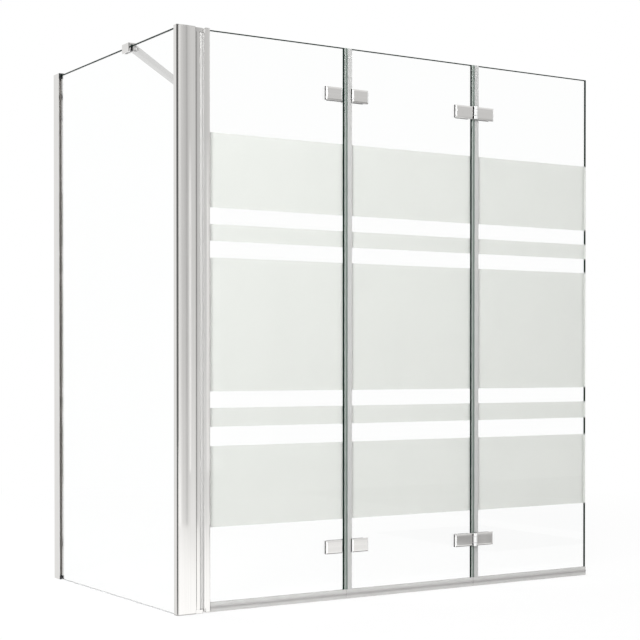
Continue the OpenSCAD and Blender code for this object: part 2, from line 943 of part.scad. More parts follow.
// The pads of one plate pair: one on each face, the inner one with sleeves through the glass.
module plate_pads() {
    half = plate_h / 2;
    hole_r = screw_r + 0.1;
    difference() {
        union() {
            span([cover_inset, half_glass, -half], [far_u(true), plate_v0, half]);
            for (u = screw_us)
                translate([u, 0, 0])
                    rod_y(glass_hole_r - 0.1, -half_glass + 0.1, half_glass + eps);
        }
        pad_holes(hole_r);
    }
    difference() {
        span([cover_inset, -plate_v0, -half], [outer_u, -half_glass, half]);
        pad_holes(hole_r);
    }
}

module pad_holes(hole_r) {
    for (u = screw_us)
        translate([u, 0, 0])
            rod_y(hole_r, -plate_v0 - 1, plate_v0 + 1);
}

module hinge_screw_pair() {
    for (u = screw_us)
        translate([u, 0, 0])
            difference() {
                hinge_screw_shape();
                translate([0, plate_v1 + 1, 0])
                    rotate([90, 0, 0])
                        cylinder(r = socket_r, h = 3.5, $fn = 6);
            }
}

// Hinge 1 has its knuckle inside, hinge 2 has it outside.
module hinge_1_fixed_plates() { color(chrome_c) at_hinges(1, false, true) fixed_plate(true); }
module hinge_1_moving_plates() { color(chrome_c) at_hinges(1, true, true) moving_plate(true); }
module hinge_1_fixed_covers() { color(chrome_c) at_hinges(1, false, false) cover_plate(false); }
module hinge_1_moving_covers() { color(chrome_c) at_hinges(1, true, false) cover_plate(false); }
module hinge_1_pins() { color(steel_c) at_hinges(1, false, true) hinge_pin(); }
module hinge_1_washers() { color(black_c) at_hinges(1, false, true) hinge_washers(); }
module hinge_1_fixed_pads() { color(grey_c) at_hinges(1, false, true) plate_pads(); }
module hinge_1_moving_pads() { color(grey_c) at_hinges(1, true, true) plate_pads(); }
module hinge_1_fixed_screws() { color(steel_c) at_hinges(1, false, true) hinge_screw_pair(); }
module hinge_1_moving_screws() { color(steel_c) at_hinges(1, true, true) hinge_screw_pair(); }

module hinge_2_fixed_plates() { color(chrome_c) at_hinges(2, false, false) fixed_plate(false); }
module hinge_2_moving_plates() { color(chrome_c) at_hinges(2, true, false) moving_plate(false); }
module hinge_2_fixed_covers() { color(chrome_c) at_hinges(2, false, true) cover_plate(true); }
module hinge_2_moving_covers() { color(chrome_c) at_hinges(2, true, true) cover_plate(true); }
module hinge_2_pins() { color(steel_c) at_hinges(2, false, false) hinge_pin(); }
module hinge_2_washers() { color(black_c) at_hinges(2, false, false) hinge_washers(); }
module hinge_2_fixed_pads() { color(grey_c) at_hinges(2, false, true) plate_pads(); }
module hinge_2_moving_pads() { color(grey_c) at_hinges(2, true, true) plate_pads(); }
module hinge_2_fixed_screws() { color(steel_c) at_hinges(2, false, true) hinge_screw_pair(); }
module hinge_2_moving_screws() { color(steel_c) at_hinges(2, true, true) hinge_screw_pair(); }

module leaf_1_glass() { color(glass_c) leaf_pane(1); }
module leaf_2_glass() { color(glass_c) leaf_pane(2); }
module leaf_3_glass() { color(glass_c) leaf_pane(3); }
module leaf_1_print() { color(print_c) leaf_print(1); }
module leaf_2_print() { color(print_c) leaf_print(2); }
module leaf_3_print() { color(print_c) leaf_print(3); }
module leaf_1_bottom_seal() { color(seal_c) leaf_bottom_seal(1); }
module leaf_2_bottom_seal() { color(seal_c) leaf_bottom_seal(2); }
module leaf_3_bottom_seal() { color(seal_c) leaf_bottom_seal(3); }
module leaf_2_edge_seal() { color(seal_c) leaf_edge_seal(1, true); }
module leaf_3_edge_seal() { color(seal_c) leaf_edge_seal(2, false); }

// ---- Stabiliser bar ----

clamp_z0 = side_top - clamp_grip;
clamp_z1 = side_top + liner_t + clamp_wall;

// The round tongue of the clamp or the bracket that a fork closes on, seen from above.
module tongue(from_x, to_x) {
    span([from_x, -bar_s / 2 + 1, bar_z - lug_t / 2], [to_x, bar_s / 2 - 1, bar_z + lug_t / 2]);
    translate([to_x, 0, 0])
        rod_z(bar_s / 2 - 1, bar_z - lug_t / 2, bar_z + lug_t / 2);
}

// A block with its four upright edges and its top edges cut at 45 degrees.
module chamfered_block(a, b, c) {
    intersection() {
        run(a[2], b[2])
            polygon([[a[0] + c, a[1]], [b[0] - c, a[1]], [b[0], a[1] + c], [b[0], b[1] - c],
                     [b[0] - c, b[1]], [a[0] + c, b[1]], [a[0], b[1] - c], [a[0], a[1] + c]]);
        run_along_x(a[0] - 1, b[0] + 1)
            polygon([[a[1], a[2]], [b[1], a[2]], [b[1], b[2] - c], [b[1] - c, b[2]],
                     [a[1] + c, b[2]], [a[1], b[2] - c]]);
    }
}

module bar_clamp() {
    slot = half_glass + liner_t;
    color(chrome_c)
        difference() {
            union() {
                chamfered_block([-clamp_x, clamp_y - clamp_l / 2, clamp_z0],
                                [clamp_x, clamp_y + clamp_l / 2, clamp_z1], 1.2);
                translate([0, clamp_y, 0])
                    tongue(clamp_x - 1, bar_x0);
            }
            span([-slot, clamp_y - clamp_l, clamp_z0 - 1], [slot, clamp_y + clamp_l, side_top + liner_t]);
            translate([bar_x0, clamp_y, 0])
                rod_z(bar_screw_r, clamp_z0, clamp_z1);
            set_screw_places()
                rotate([0, 90, 0])
                    cylinder(r = bar_screw_r, h = clamp_wall + 2);
        }
}

// The places of the clamp's set screws, in its inner cheek.
module set_screw_places() {
    for (side = [-1, 1])
        translate([half_glass + liner_t, clamp_y + side * set_screw_pitch / 2, clamp_z0 + 6])
            children();
}

module bar_clamp_liner() {
    slot = half_glass + liner_t;
    color(black_c)
        difference() {
            span([-slot, clamp_y - clamp_l / 2, clamp_z0], [slot, clamp_y + clamp_l / 2, side_top + liner_t]);
            span([-half_glass, clamp_y - clamp_l, clamp_z0 - 1], [half_glass, clamp_y + clamp_l, side_top]);
        }
}

module bar_clamp_screws() {
    color(steel_c)
        set_screw_places()
            rotate([0, 90, 0])
                difference() {
                    cylinder(r = bar_screw_r, h = clamp_wall - 0.5);
                    translate([0, 0, clamp_wall - 3])
                        cylinder(r = bar_screw_r * 0.55, h = 3, $fn = 6);
                }
}

// Places its children with x along the bar, from the pivot at the clamp.
module along_bar(shift, back) {
    translate([bar_x0, clamp_y, 0])
        rotate([0, 0, bar_angle])
            translate([shift, 0, 0])
                rotate([0, 0, back ? 180 : 0])
                    children();
}

module stabiliser_bar() {
    half = bar_s / 2;
    inner = half - bar_wall;
    color(chrome_c)
        along_bar(0, false)
            difference() {
                span([fork_l, -half, bar_z - half], [bar_len - fork_l, half, bar_z + half]);
                span([fork_l - 1, -inner, bar_z - inner], [bar_len, inner, bar_z + inner]);
            }
}

// A fork end: two round prongs at the pivot, a shoulder and a plug that fills the bar's end.
module fork() {
    half = bar_s / 2;
    inner = half - bar_wall;
    difference() {
        union() {
            rod_z(half, bar_z - half, bar_z + half);
            span([0, -half, bar_z - half], [fork_l, half, bar_z + half]);
            span([fork_l - eps, -inner, bar_z - inner], [fork_l + fork_plug, inner, bar_z + inner]);
        }
        span([-half - 1, -half - 1, bar_z - lug_t / 2 - face_gap],
             [half + 2, half + 1, bar_z + lug_t / 2 + face_gap]);
        rod_z(bar_screw_r, bar_z - half - 1, bar_z + half + 1);
    }
}

module bar_fork_glass_end() {
    color(chrome_c)
        along_bar(0, false)
            fork();
}

module bar_fork_wall_end() {
    color(chrome_c)
        along_bar(bar_len, true)
            fork();
}

module bar_pivot_screws() {
    top = bar_z + bar_s / 2;
    color(steel_c)
        for (shift = [0, bar_len])
            along_bar(shift, false)
                difference() {
                    union() {
                        rod_z(bar_screw_r, bar_z - bar_s / 2, top);
                        rod_z(bar_screw_r * 1.8, top, top + bar_head_h);
                    }
                    rod_z(bar_screw_r * 0.8, top + bar_head_h - 2, top + bar_head_h + 1, $fn = 6);
                }
}

module wall_bracket() {
    half_w = bracket_w / 2;
    half_h = bracket_h / 2;
    color(chrome_c)
        translate([bar_x1, 0, 0])
            difference() {
                union() {
                    span([-half_w, side_depth - bracket_t, bar_z - half_h],
                         [half_w, side_depth, bar_z + half_h]);
                    translate([0, side_depth, 0])
                        rotate([0, 0, 270])
                            tongue(bracket_t - 1, bracket_t + bracket_out);
                }
                translate([0, bar_y1, 0])
                    rod_z(bar_screw_r, bar_z - bar_s, bar_z + bar_s);
                for (side = [-1, 1])
                    translate([0, 0, bar_z + side * bracket_holes / 2])
                        rod_y(wall_hole_r, side_depth - bracket_t - 1, side_depth + 1);
            }
}

wall_channel();
wall_channel_caps();
wall_channel_gaskets();
side_glass();
side_sill_strip();
corner_post();
post_top_cap();
post_foot_cap();
post_gaskets();
adjuster_profile();
adjuster_screws();
pivot_bearing_top();
pivot_bearing_bottom();
bearing_screws();
pivot_pins();
bar_clamp();
bar_clamp_liner();
bar_clamp_screws();
stabiliser_bar();
bar_fork_glass_end();
bar_fork_wall_end();
bar_pivot_screws();
wall_bracket();
pivot_profile();
pivot_profile_caps();
pivot_bushes();
leaf_1_glass();
leaf_1_print();
leaf_1_gasket();
leaf_1_bottom_seal();
hinge_1_fixed_plates();
hinge_1_pins();
hinge_1_washers();
hinge_1_fixed_covers();
hinge_1_fixed_pads();
hinge_1_fixed_screws();
leaf_2_glass();
leaf_2_print();
leaf_2_bottom_seal();
leaf_2_edge_seal();
hinge_1_moving_plates();
hinge_1_moving_covers();
hinge_1_moving_pads();
hinge_1_moving_screws();
hinge_2_fixed_plates();
hinge_2_pins();
hinge_2_washers();
hinge_2_fixed_covers();
hinge_2_fixed_pads();
hinge_2_fixed_screws();
leaf_3_glass();
leaf_3_print();
leaf_3_bottom_seal();
leaf_3_edge_seal();
hinge_2_moving_plates();
hinge_2_moving_covers();
hinge_2_moving_pads();
hinge_2_moving_screws();
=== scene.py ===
"""Looks of the folding bath screen: panes, profiles, seals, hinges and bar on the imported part."""

import json
import logging
import math
from dataclasses import dataclass
from enum import Enum
from typing import Any, Callable, Optional, Sequence, Union

import bmesh
import bpy
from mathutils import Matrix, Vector

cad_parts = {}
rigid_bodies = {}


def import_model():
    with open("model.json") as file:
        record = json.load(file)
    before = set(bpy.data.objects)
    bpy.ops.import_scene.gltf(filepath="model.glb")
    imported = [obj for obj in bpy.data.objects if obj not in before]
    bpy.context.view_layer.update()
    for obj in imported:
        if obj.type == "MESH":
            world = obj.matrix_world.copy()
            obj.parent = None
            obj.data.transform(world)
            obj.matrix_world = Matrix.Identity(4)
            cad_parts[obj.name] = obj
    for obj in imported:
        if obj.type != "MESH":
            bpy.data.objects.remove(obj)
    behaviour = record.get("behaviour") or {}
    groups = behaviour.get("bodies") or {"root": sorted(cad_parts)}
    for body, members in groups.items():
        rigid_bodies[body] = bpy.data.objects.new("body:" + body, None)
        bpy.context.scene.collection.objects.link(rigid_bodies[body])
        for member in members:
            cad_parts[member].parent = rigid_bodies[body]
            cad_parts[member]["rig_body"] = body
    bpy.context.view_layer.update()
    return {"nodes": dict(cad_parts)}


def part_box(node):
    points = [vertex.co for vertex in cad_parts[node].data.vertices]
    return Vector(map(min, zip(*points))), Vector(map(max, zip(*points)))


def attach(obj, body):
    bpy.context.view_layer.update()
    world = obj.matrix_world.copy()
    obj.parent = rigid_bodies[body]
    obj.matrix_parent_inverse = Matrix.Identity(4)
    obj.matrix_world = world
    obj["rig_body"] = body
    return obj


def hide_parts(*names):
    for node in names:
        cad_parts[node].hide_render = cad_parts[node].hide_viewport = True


log = logging.getLogger("bath_screen")

# Lengths in metres
MM = 0.001
WELD = 1e-6
TOUCH = 1e-5
HALF_HEIGHT = 0.7

# Edges that turn more than SHARP are broken; faces that turn less than FLAT are joined
SHARP = math.radians(28)
FLAT = math.radians(0.05)

# A face looks along an axis when its normal's share of it is over SQUARE,
# and is sloped when the share is over SLOPED and not over SQUARE
SQUARE = 0.9
SLOPED = 0.15

Colour = tuple[float, float, float]
Triple = tuple[float, float, float]
Corners = tuple[Triple, Triple, Triple, Triple]
Stops = tuple[tuple[float, float], ...]


class Slot(Enum):
    """The material slots of the record."""

    GLASS = "glass"
    FROST = "frost"
    PROFILE = "profile"
    BAR = "bar"
    HINGE = "hinge"
    STEEL = "steel"
    SEAL = "seal"
    PAD = "pad"
    BLACK = "black"
    RUBBER = "rubber"


class Axis(Enum):
    """A direction in the row frame, as its place in a vector."""

    X = 0
    Y = 1
    Z = 2

    def stretched(self, across: float, along: float) -> Triple:
        """A scale for a pattern with one number along this direction and another across it."""
        return tuple(along if axis is self else across for axis in Axis)


# ---- Node trees ----


class Wire:
    """An output socket of a node tree, for use in plain arithmetic."""

    def __init__(self, graph: "Graph", socket: bpy.types.NodeSocket) -> None:
        """Wraps one output socket of a graph."""
        self.graph = graph
        self.socket = socket

    def __add__(self, other: "Value") -> "Wire":
        """self + other."""
        return self.graph.maths("ADD", self, other)

    def __radd__(self, other: "Value") -> "Wire":
        """other + self."""
        return self.graph.maths("ADD", other, self)

    def __sub__(self, other: "Value") -> "Wire":
        """self - other."""
        return self.graph.maths("SUBTRACT", self, other)

    def __rsub__(self, other: "Value") -> "Wire":
        """other - self."""
        return self.graph.maths("SUBTRACT", other, self)

    def __mul__(self, other: "Value") -> "Wire":
        """self * other."""
        return self.graph.maths("MULTIPLY", self, other)

    def __rmul__(self, other: "Value") -> "Wire":
        """other * self."""
        return self.graph.maths("MULTIPLY", other, self)

    def __pow__(self, other: "Value") -> "Wire":
        """self ** other."""
        return self.graph.maths("POWER", self, other)


Value = Union[float, Wire]


class Graph:
    """A node tree under construction."""

    def __init__(self, tree: bpy.types.NodeTree) -> None:
        """Works on an empty tree."""
        self.tree = tree

    def node(
        self,
        kind: str,
        settings: Optional[dict[str, Any]] = None,
        inputs: Optional[dict[Union[int, str], Any]] = None,
        out: Union[int, str] = 0,
    ) -> Wire:
        """Adds a node.

        Args:
            kind: Blender's type name of the node.
            settings: Its properties, set first; "stops" holds a ramp's places and colours.
            inputs: A value or a Wire for each input, by name or number.
            out: The output that the Wire stands for.

        Returns:
            The chosen output.
        """
        made = self.tree.nodes.new(kind)
        for name, value in (settings or {}).items():
            if name == "stops":
                self._set_stops(made.color_ramp, value)
            else:
                setattr(made, name, value)
        for key, value in (inputs or {}).items():
            if isinstance(value, Wire):
                self.tree.links.new(value.socket, made.inputs[key])
            else:
                made.inputs[key].default_value = value
        return Wire(self, made.outputs[out])

    def maths(self, operation: str, first: "Value", second: "Value" = 0.0) -> Wire:
        """Adds one Math node and returns its result."""
        return self.node("ShaderNodeMath", {"operation": operation}, {0: first, 1: second})

    @staticmethod
    def _set_stops(ramp: bpy.types.ColorRamp, stops: Sequence[tuple[float, float]]) -> None:
        """Sets a grey ramp's stops, each a place and a level."""
        while len(ramp.elements) < len(stops):
            ramp.elements.new(1.0)
        for element, (place, level) in zip(ramp.elements, stops):
            element.position = place
            element.color = (level, level, level, 1)

    def coordinates(self, scale: Triple = (1, 1, 1), turn_z: float = 0.0) -> Wire:
        """Object coordinates, turned about Z and then scaled.

        Args:
            scale: Scale along the three turned axes.
            turn_z: Turn about Z, in radians.

        Returns:
            The vector to feed a texture.
        """
        place = self.node("ShaderNodeTexCoord", out="Object")
        turned = self.node("ShaderNodeMapping", {"vector_type": "POINT"},
                           {"Vector": place, "Rotation": (0, 0, -turn_z)})
        return self.node("ShaderNodeMapping", {"vector_type": "POINT"},
                         {"Vector": turned, "Scale": scale})

    def noise(self, place: Wire, scale: float, detail: float = 3.0, rough: float = 0.5) -> Wire:
        """A noise from 0 to 1 at a scale in features per metre."""
        return self.node("ShaderNodeTexNoise", None,
                         {"Vector": place, "Scale": scale, "Detail": detail, "Roughness": rough})

    def ramp(self, value: Wire, stops: Sequence[tuple[float, float]]) -> Wire:
        """Remaps a value through a grey ramp."""
        return self.node("ShaderNodeValToRGB", {"stops": stops}, {"Fac": value})

    def along(self, axis: Axis, stops: Stops) -> Wire:
        """A level that follows one direction of the row frame.

        Args:
            axis: The direction.
            stops: Places in metres, in rising order, and the level at each.

        Returns:
            The level, constant before the first and after the last place.
        """
        place = self.node("ShaderNodeSeparateXYZ", None, {"Vector": self.coordinates()},
                          out="XYZ"[axis.value])
        start, end = stops[0][0], stops[-1][0]
        top = max(level for _, level in stops)
        return top * self.ramp((place - start) * (1.0 / (end - start)),
                               [((where - start) / (end - start), level / top)
                                for where, level in stops])

    def tint(self, share: Wire, first: Union[Colour, Wire], second: Union[Colour, Wire]) -> Wire:
        """Mixes two colours by a share from 0 to 1."""
        ends = [c if isinstance(c, Wire) else (*c, 1) for c in (first, second)]
        return self.node("ShaderNodeMix", {"data_type": "RGBA"}, {0: share, 6: ends[0], 7: ends[1]},
                         out=2)

    def bump(self, height: Wire, depth: float) -> Wire:
        """A bumped normal from a height field.

        Args:
            height: The height from 0 to 1.
            depth: What a height of 1 stands for, in metres.

        Returns:
            The normal.
        """
        return self.node("ShaderNodeBump", None,
                         {"Height": height, "Distance": depth, "Strength": 1.0})

    def shell(self, **sockets: Any) -> Wire:
        """A Principled BSDF whose sockets are given with _ for a space."""
        return self.node("ShaderNodeBsdfPrincipled", None,
                         {name.replace("_", " "): value for name, value in sockets.items()})

    def ray(self, *kinds: str) -> Wire:
        """1 for a ray of any of these kinds, as Light Path names them."""
        total, *others = [self.node("ShaderNodeLightPath", out=kind) for kind in kinds]
        for wire in others:
            total = self.maths("MAXIMUM", total, wire)
        return total

    def mix(self, share: Value, first: Wire, second: Wire) -> Wire:
        """Mixes two shaders."""
        return self.node("ShaderNodeMixShader", None, {0: share, 1: first, 2: second})


# ---- Finishes ----


@dataclass(frozen=True)
class Finish:
    """A surface finish, made into a material once."""

    name: str
    slot: Slot

    def surface(self, graph: Graph) -> Wire:
        """Builds the finish's nodes and returns its shader."""
        raise NotImplementedError

    def material(self) -> bpy.types.Material:
        """The material of this finish, made at its first use."""
        found = bpy.data.materials.get(self.name)
        if found:
            return found
        made = bpy.data.materials.new(self.name)
        made.use_nodes = True
        made.node_tree.nodes.clear()
        graph = Graph(made.node_tree)
        shader = self.surface(graph)
        output = made.node_tree.nodes.new("ShaderNodeOutputMaterial")
        made.node_tree.links.new(shader.socket, output.inputs["Surface"])
        return made


@dataclass(frozen=True)
class PolishedMetal(Finish):
    """Polished metal with fine draw lines along one direction and faint wiping marks."""

    dull: Colour = (0.665, 0.655, 0.64)
    bright: Colour = (0.755, 0.745, 0.73)
    roughness: float = 0.05
    haze: float = 0.05
    lines: float = 420.0
    draw_share: float = 0.004
    along: Axis = Axis.Z
    turn_z: float = 0.0
    depth: float = 1e-6
    metallic: float = 1.0

    def surface(self, graph: Graph) -> Wire:
        """Draw lines move the tone, the gloss and the relief a little."""
        stretch = self.along.stretched(self.lines, self.lines * self.draw_share)
        drawn = graph.noise(graph.coordinates(stretch, self.turn_z), 1.0, 4.0, 0.6)
        wiped = graph.noise(graph.coordinates((9, 9, 5), self.turn_z), 1.0, 5.0, 0.62)
        grain = graph.noise(graph.coordinates(), 2600.0, 2.0)
        lines = graph.ramp(drawn, [(0.32, 0.0), (0.68, 1.0)])
        smears = graph.ramp(wiped, [(0.45, 0.0), (0.72, 1.0)])
        return graph.shell(
            Base_Color=graph.tint(lines * 0.55 + wiped * 0.45, self.dull, self.bright),
            Metallic=self.metallic,
            Roughness=lines * (self.haze * 0.35) + smears * self.haze + self.roughness,
            Normal=graph.bump(drawn * 0.7 + grain * 0.3, self.depth),
        )


@dataclass(frozen=True)
class PlainSteel(Finish):
    """Turned and tumbled stainless steel of screws and pins."""

    dull: Colour = (0.40, 0.405, 0.415)
    bright: Colour = (0.58, 0.585, 0.60)

    def surface(self, graph: Graph) -> Wire:
        """A fine even grain with darker specks."""
        fine = graph.noise(graph.coordinates(), 2200.0, 3.0)
        broad = graph.noise(graph.coordinates(), 160.0, 4.0)
        return graph.shell(
            Base_Color=graph.tint(fine * 0.5 + broad * 0.5, self.dull, self.bright),
            Metallic=1.0,
            Roughness=broad * 0.14 + fine * 0.08 + 0.16,
            Normal=graph.bump(fine, 6e-6),
        )


@dataclass(frozen=True)
class ClearPane(Finish):
    """The faces of a clear float glass pane."""

    clear: Colour = (0.998, 1.0, 0.999)
    faint: Colour = (0.988, 0.995, 0.992)
    passed: Colour = (0.95, 0.97, 0.96)

    def surface(self, graph: Graph) -> Wire:
        """Clear glass with the least waviness and dried film; light passes on to what is behind."""
        wave = graph.noise(graph.coordinates(), 7.0, 2.0)
        film = graph.noise(graph.coordinates((1, 1, 0.35)), 46.0, 5.0, 0.6)
        marks = graph.ramp(film, [(0.58, 0.0), (0.8, 1.0)])
        glass = graph.shell(
            Base_Color=graph.tint(wave, self.clear, self.faint),
            Roughness=marks * 0.02,
            IOR=1.45,
            Transmission_Weight=1.0,
            Normal=graph.bump(wave, 4e-5),
        )
        open_way = graph.node("ShaderNodeBsdfTransparent", None, {"Color": (*self.passed, 1)})
        return graph.mix(graph.ray("Is Shadow Ray"), glass, open_way)


@dataclass(frozen=True)
class PaneEdge(Finish):
    """The ground and polished edge of a pane, where the glass looks green."""

    deep: Colour = (0.002, 0.006, 0.004)
    pale: Colour = (0.01, 0.026, 0.019)
    frosted: Optional[Stops] = None
    painted_frost_light: Colour = (0.6, 0.62, 0.59)

    def surface(self, graph: Graph) -> Wire:
        """Green depth that changes along the edge, under a ground gloss.

        Where the pane is frosted up to the edge, it is painted pale there: painted light from the
        frost.
        """
        depth = graph.noise(graph.coordinates((14, 14, 14)), 1.0, 4.0)
        ground = graph.noise(graph.coordinates((60, 900, 60)), 1.0, 3.0)
        base = graph.tint(depth * 0.6 + ground * 0.4, self.deep, self.pale)
        if self.frosted:
            # Painted frost light: pale at the heights of the frosted bands
            base = graph.tint(graph.along(Axis.Z, self.frosted), base, self.painted_frost_light)
        return graph.shell(
            Base_Color=base,
            Roughness=ground * 0.14 + 0.2,
            Specular_IOR_Level=0.04,
            Normal=graph.bump(ground, 1e-5),
        )


@dataclass(frozen=True)
class FrostedPrint(Finish):
    """Frosted white bands on the inner face of a leaf."""

    thin: Colour = (0.79, 0.79, 0.765)
    full: Colour = (0.87, 0.87, 0.845)

    def surface(self, graph: Graph) -> Wire:
        """A fine speckle of frost whose cover varies slightly."""
        speck = graph.noise(graph.coordinates(), 1500.0, 3.0, 0.7)
        cloud = graph.noise(graph.coordinates((1, 1, 0.6)), 12.0, 4.0)
        cover = speck * 0.55 + cloud * 0.45
        return graph.shell(
            Base_Color=graph.tint(cover, self.thin, self.full),
            Roughness=cloud * 0.18 + speck * 0.12 + 0.48,
            IOR=1.4,
            Transmission_Weight=0.35,
            Normal=graph.bump(speck, 2e-5),
        )


@dataclass(frozen=True)
class SoftSeal(Finish):
    """Clear soft plastic that has gone slightly grey."""

    thin: Colour = (0.55, 0.55, 0.545)
    milky: Colour = (0.64, 0.64, 0.63)
    along: Axis = Axis.Z
    lines: float = 520.0
    draw: float = 5.0
    clarity: float = 0.3
    across: Axis = Axis.X
    # through and behind carry painted shade: where along the strip it lies, and its tone
    through: Optional[Stops] = None
    behind: Colour = (0.25, 0.3, 0.27)

    def surface(self, graph: Graph) -> Wire:
        """Draw lines along the strip, milky patches and a waxy gloss.

        Where the strip covers the edge of a pane, painted shade darkens a band of it.
        """
        stretch = self.along.stretched(self.lines, self.draw)
        drawn = graph.noise(graph.coordinates(stretch), 1.0, 3.0, 0.55)
        cloud = graph.noise(graph.coordinates(), 34.0, 4.0)
        base = graph.tint(drawn * 0.5 + cloud * 0.5, self.thin, self.milky)
        if self.through:
            # Painted shade where the strip covers a pane's edge
            base = graph.tint(graph.along(self.across, self.through), base, self.behind)
        return graph.shell(
            Base_Color=base,
            Roughness=cloud * 0.14 + drawn * 0.08 + 0.1,
            IOR=1.46,
            Transmission_Weight=self.clarity,
            Normal=graph.bump(drawn * 0.7 + cloud * 0.3, 3e-5),
        )


@dataclass(frozen=True)
class MouldedPlastic(Finish):
    """Moulded plastic or rubber with a fine grain and rubbed patches."""

    dark: Colour = (0.012, 0.012, 0.013)
    light: Colour = (0.035, 0.035, 0.037)
    roughness: float = 0.42
    grain_depth: float = 1.5e-5

    def surface(self, graph: Graph) -> Wire:
        """A leathery grain; worn patches are paler and shinier."""
        grain = graph.noise(graph.coordinates(), 1300.0, 3.0, 0.6)
        rubbed = graph.ramp(graph.noise(graph.coordinates(), 60.0, 4.0), [(0.4, 0.0), (0.75, 1.0)])
        return graph.shell(
            Base_Color=graph.tint(rubbed * 0.6 + grain * 0.4, self.dark, self.light),
            Roughness=grain * 0.12 - rubbed * 0.1 + self.roughness,
            IOR=1.5,
            Normal=graph.bump(grain, self.grain_depth),
        )


@dataclass(frozen=True)
class StudioSweep(Finish):
    """The pale floor: white to the eye and in reflections, and it keeps the shadow."""

    tone: Colour = (0.93, 0.93, 0.93)
    worn_share: float = 0.985
    middle: Triple = (0.6, 0.35, 0.0)
    reach: float = 4.0
    near: Stops = ((0.25, 0.92), (0.8, 1.0))
    painted_shadow_distance: float = 12 * MM
    painted_shadow_share: float = 0.4

    def surface(self, graph: Graph) -> Wire:
        """White light for the camera, metal and glass, over a plain matt floor.

        Less of it near the part, where the floor keeps the shadow and lies in a faint painted
        shade, and least at the contact, where ambient occlusion paints a contact shadow.
        """
        mottle = graph.noise(graph.coordinates(), 3.0, 3.0)
        worn = tuple(level * self.worn_share for level in self.tone)
        matt = graph.shell(
            Base_Color=graph.tint(mottle, self.tone, worn),
            Roughness=mottle * 0.1 + 0.8,
            Specular_IOR_Level=0.1,
        )
        white = graph.node("ShaderNodeEmission", None, {"Color": (1, 1, 1, 1), "Strength": 1.0})
        away = graph.node("ShaderNodeVectorMath", {"operation": "DISTANCE"},
                          {0: graph.coordinates(), 1: self.middle}, out="Value")
        # Painted contact shadow: ambient occlusion darkens the white where the part stands on the
        # floor
        contact = graph.node("ShaderNodeAmbientOcclusion", {"samples": 8},
                             {"Distance": self.painted_shadow_distance}, out="AO")
        # Less white near the part: a faint painted shade pool, where the matt floor's own shadow
        # shows
        glow = graph.ramp(away * (1.0 / self.reach), self.near) * (
            1.0 - self.painted_shadow_share + self.painted_shadow_share * contact)
        seen = graph.ray("Is Camera Ray", "Is Glossy Ray", "Is Transmission Ray")
        return graph.mix(seen * glow, matt, white)


PROFILE_METAL = PolishedMetal("polished_profile", Slot.PROFILE)
SATIN_METAL = PolishedMetal("satin_knuckle", Slot.PROFILE, dull=(0.5, 0.495, 0.485),
                            bright=(0.6, 0.595, 0.585), roughness=0.4, metallic=0.35)
# A lighter satin copy of the hinge chrome: painted highlight on the knuckles and the sloped end
# bevels
SATIN_HIGHLIGHT_METAL = PolishedMetal("satin_hinge_painted_highlight", Slot.HINGE, dull=(0.76, 0.76, 0.755),
                              bright=(0.84, 0.84, 0.835), roughness=0.35, metallic=0.3)
CAP_METAL = PolishedMetal("polished_cap", Slot.PROFILE, along=Axis.X, lines=300.0)
HINGE_METAL = PolishedMetal("chromed_hinge", Slot.HINGE, roughness=0.06, lines=260.0, haze=0.08,
                            along=Axis.X, depth=2.5e-6)
# A darker copy of the cap metal on the post's foot cap: painted shade at the foot
SHADED_FOOT_METAL = PolishedMetal("polished_foot_painted_shade", Slot.PROFILE, along=Axis.X, lines=300.0,
                           dull=(0.4, 0.395, 0.385), bright=(0.48, 0.475, 0.465))
# Painted shade: a dark copy of the hinge chrome for the plates' ends, undersides and foot
PAINTED_SHADE_HINGE_METAL = PolishedMetal("painted_shade_hinge_end", Slot.HINGE, dull=(0.1, 0.098, 0.095),
                          bright=(0.17, 0.166, 0.16), roughness=0.2, along=Axis.Y)
BAR_METAL = PolishedMetal("chromed_bar", Slot.BAR, along=Axis.X, turn_z=math.radians(50),
                          roughness=0.06, dull=(0.4, 0.395, 0.385), bright=(0.48, 0.475, 0.465))
FITTING_METAL = PolishedMetal("chromed_fitting", Slot.BAR, along=Axis.Y, lines=240.0,
                              depth=2e-6)
STEEL = PlainSteel("plain_steel", Slot.STEEL)
PANE = ClearPane("clear_pane", Slot.GLASS)
PANE_EDGE = PaneEdge("pane_edge", Slot.GLASS)
FROST = FrostedPrint("frosted_print", Slot.FROST)
UPRIGHT_SEAL = SoftSeal("upright_seal", Slot.SEAL)
# The lying seal carries a band of painted shade where it covers the pane's foot
LYING_SEAL = SoftSeal(
    "lying_seal", Slot.SEAL, along=Axis.X, thin=(0.62, 0.615, 0.605), milky=(0.71, 0.705, 0.69),
    across=Axis.Z, behind=(0.38, 0.37, 0.365),
    through=((0.0, 0.15), (0.006, 0.2), (0.008, 0.62), (0.013, 0.62), (0.0155, 0.2), (0.0185, 0.0)))
SILL_SEAL = SoftSeal("sill_seal", Slot.SEAL, along=Axis.Y, thin=(0.82, 0.82, 0.83),
                     milky=(0.9, 0.9, 0.91))
PAD = MouldedPlastic("hinge_pad", Slot.PAD, dark=(0.03, 0.03, 0.032), light=(0.08, 0.08, 0.084),
                     roughness=0.5)
BLACK = MouldedPlastic("black_plastic", Slot.BLACK)
CHANNEL_RUBBER = MouldedPlastic("channel_rubber", Slot.RUBBER, dark=(0.2, 0.18, 0.17),
                                light=(0.32, 0.29, 0.275), roughness=0.6)


# ---- The bench: how pieces are made and fixed to the frame ----


@dataclass
class Island:
    """One loose part of a CAD node: its lowest and highest corners."""

    low: Vector
    high: Vector

    @property
    def middle(self) -> Vector:
        """The middle of its box."""
        return (self.low + self.high) / 2


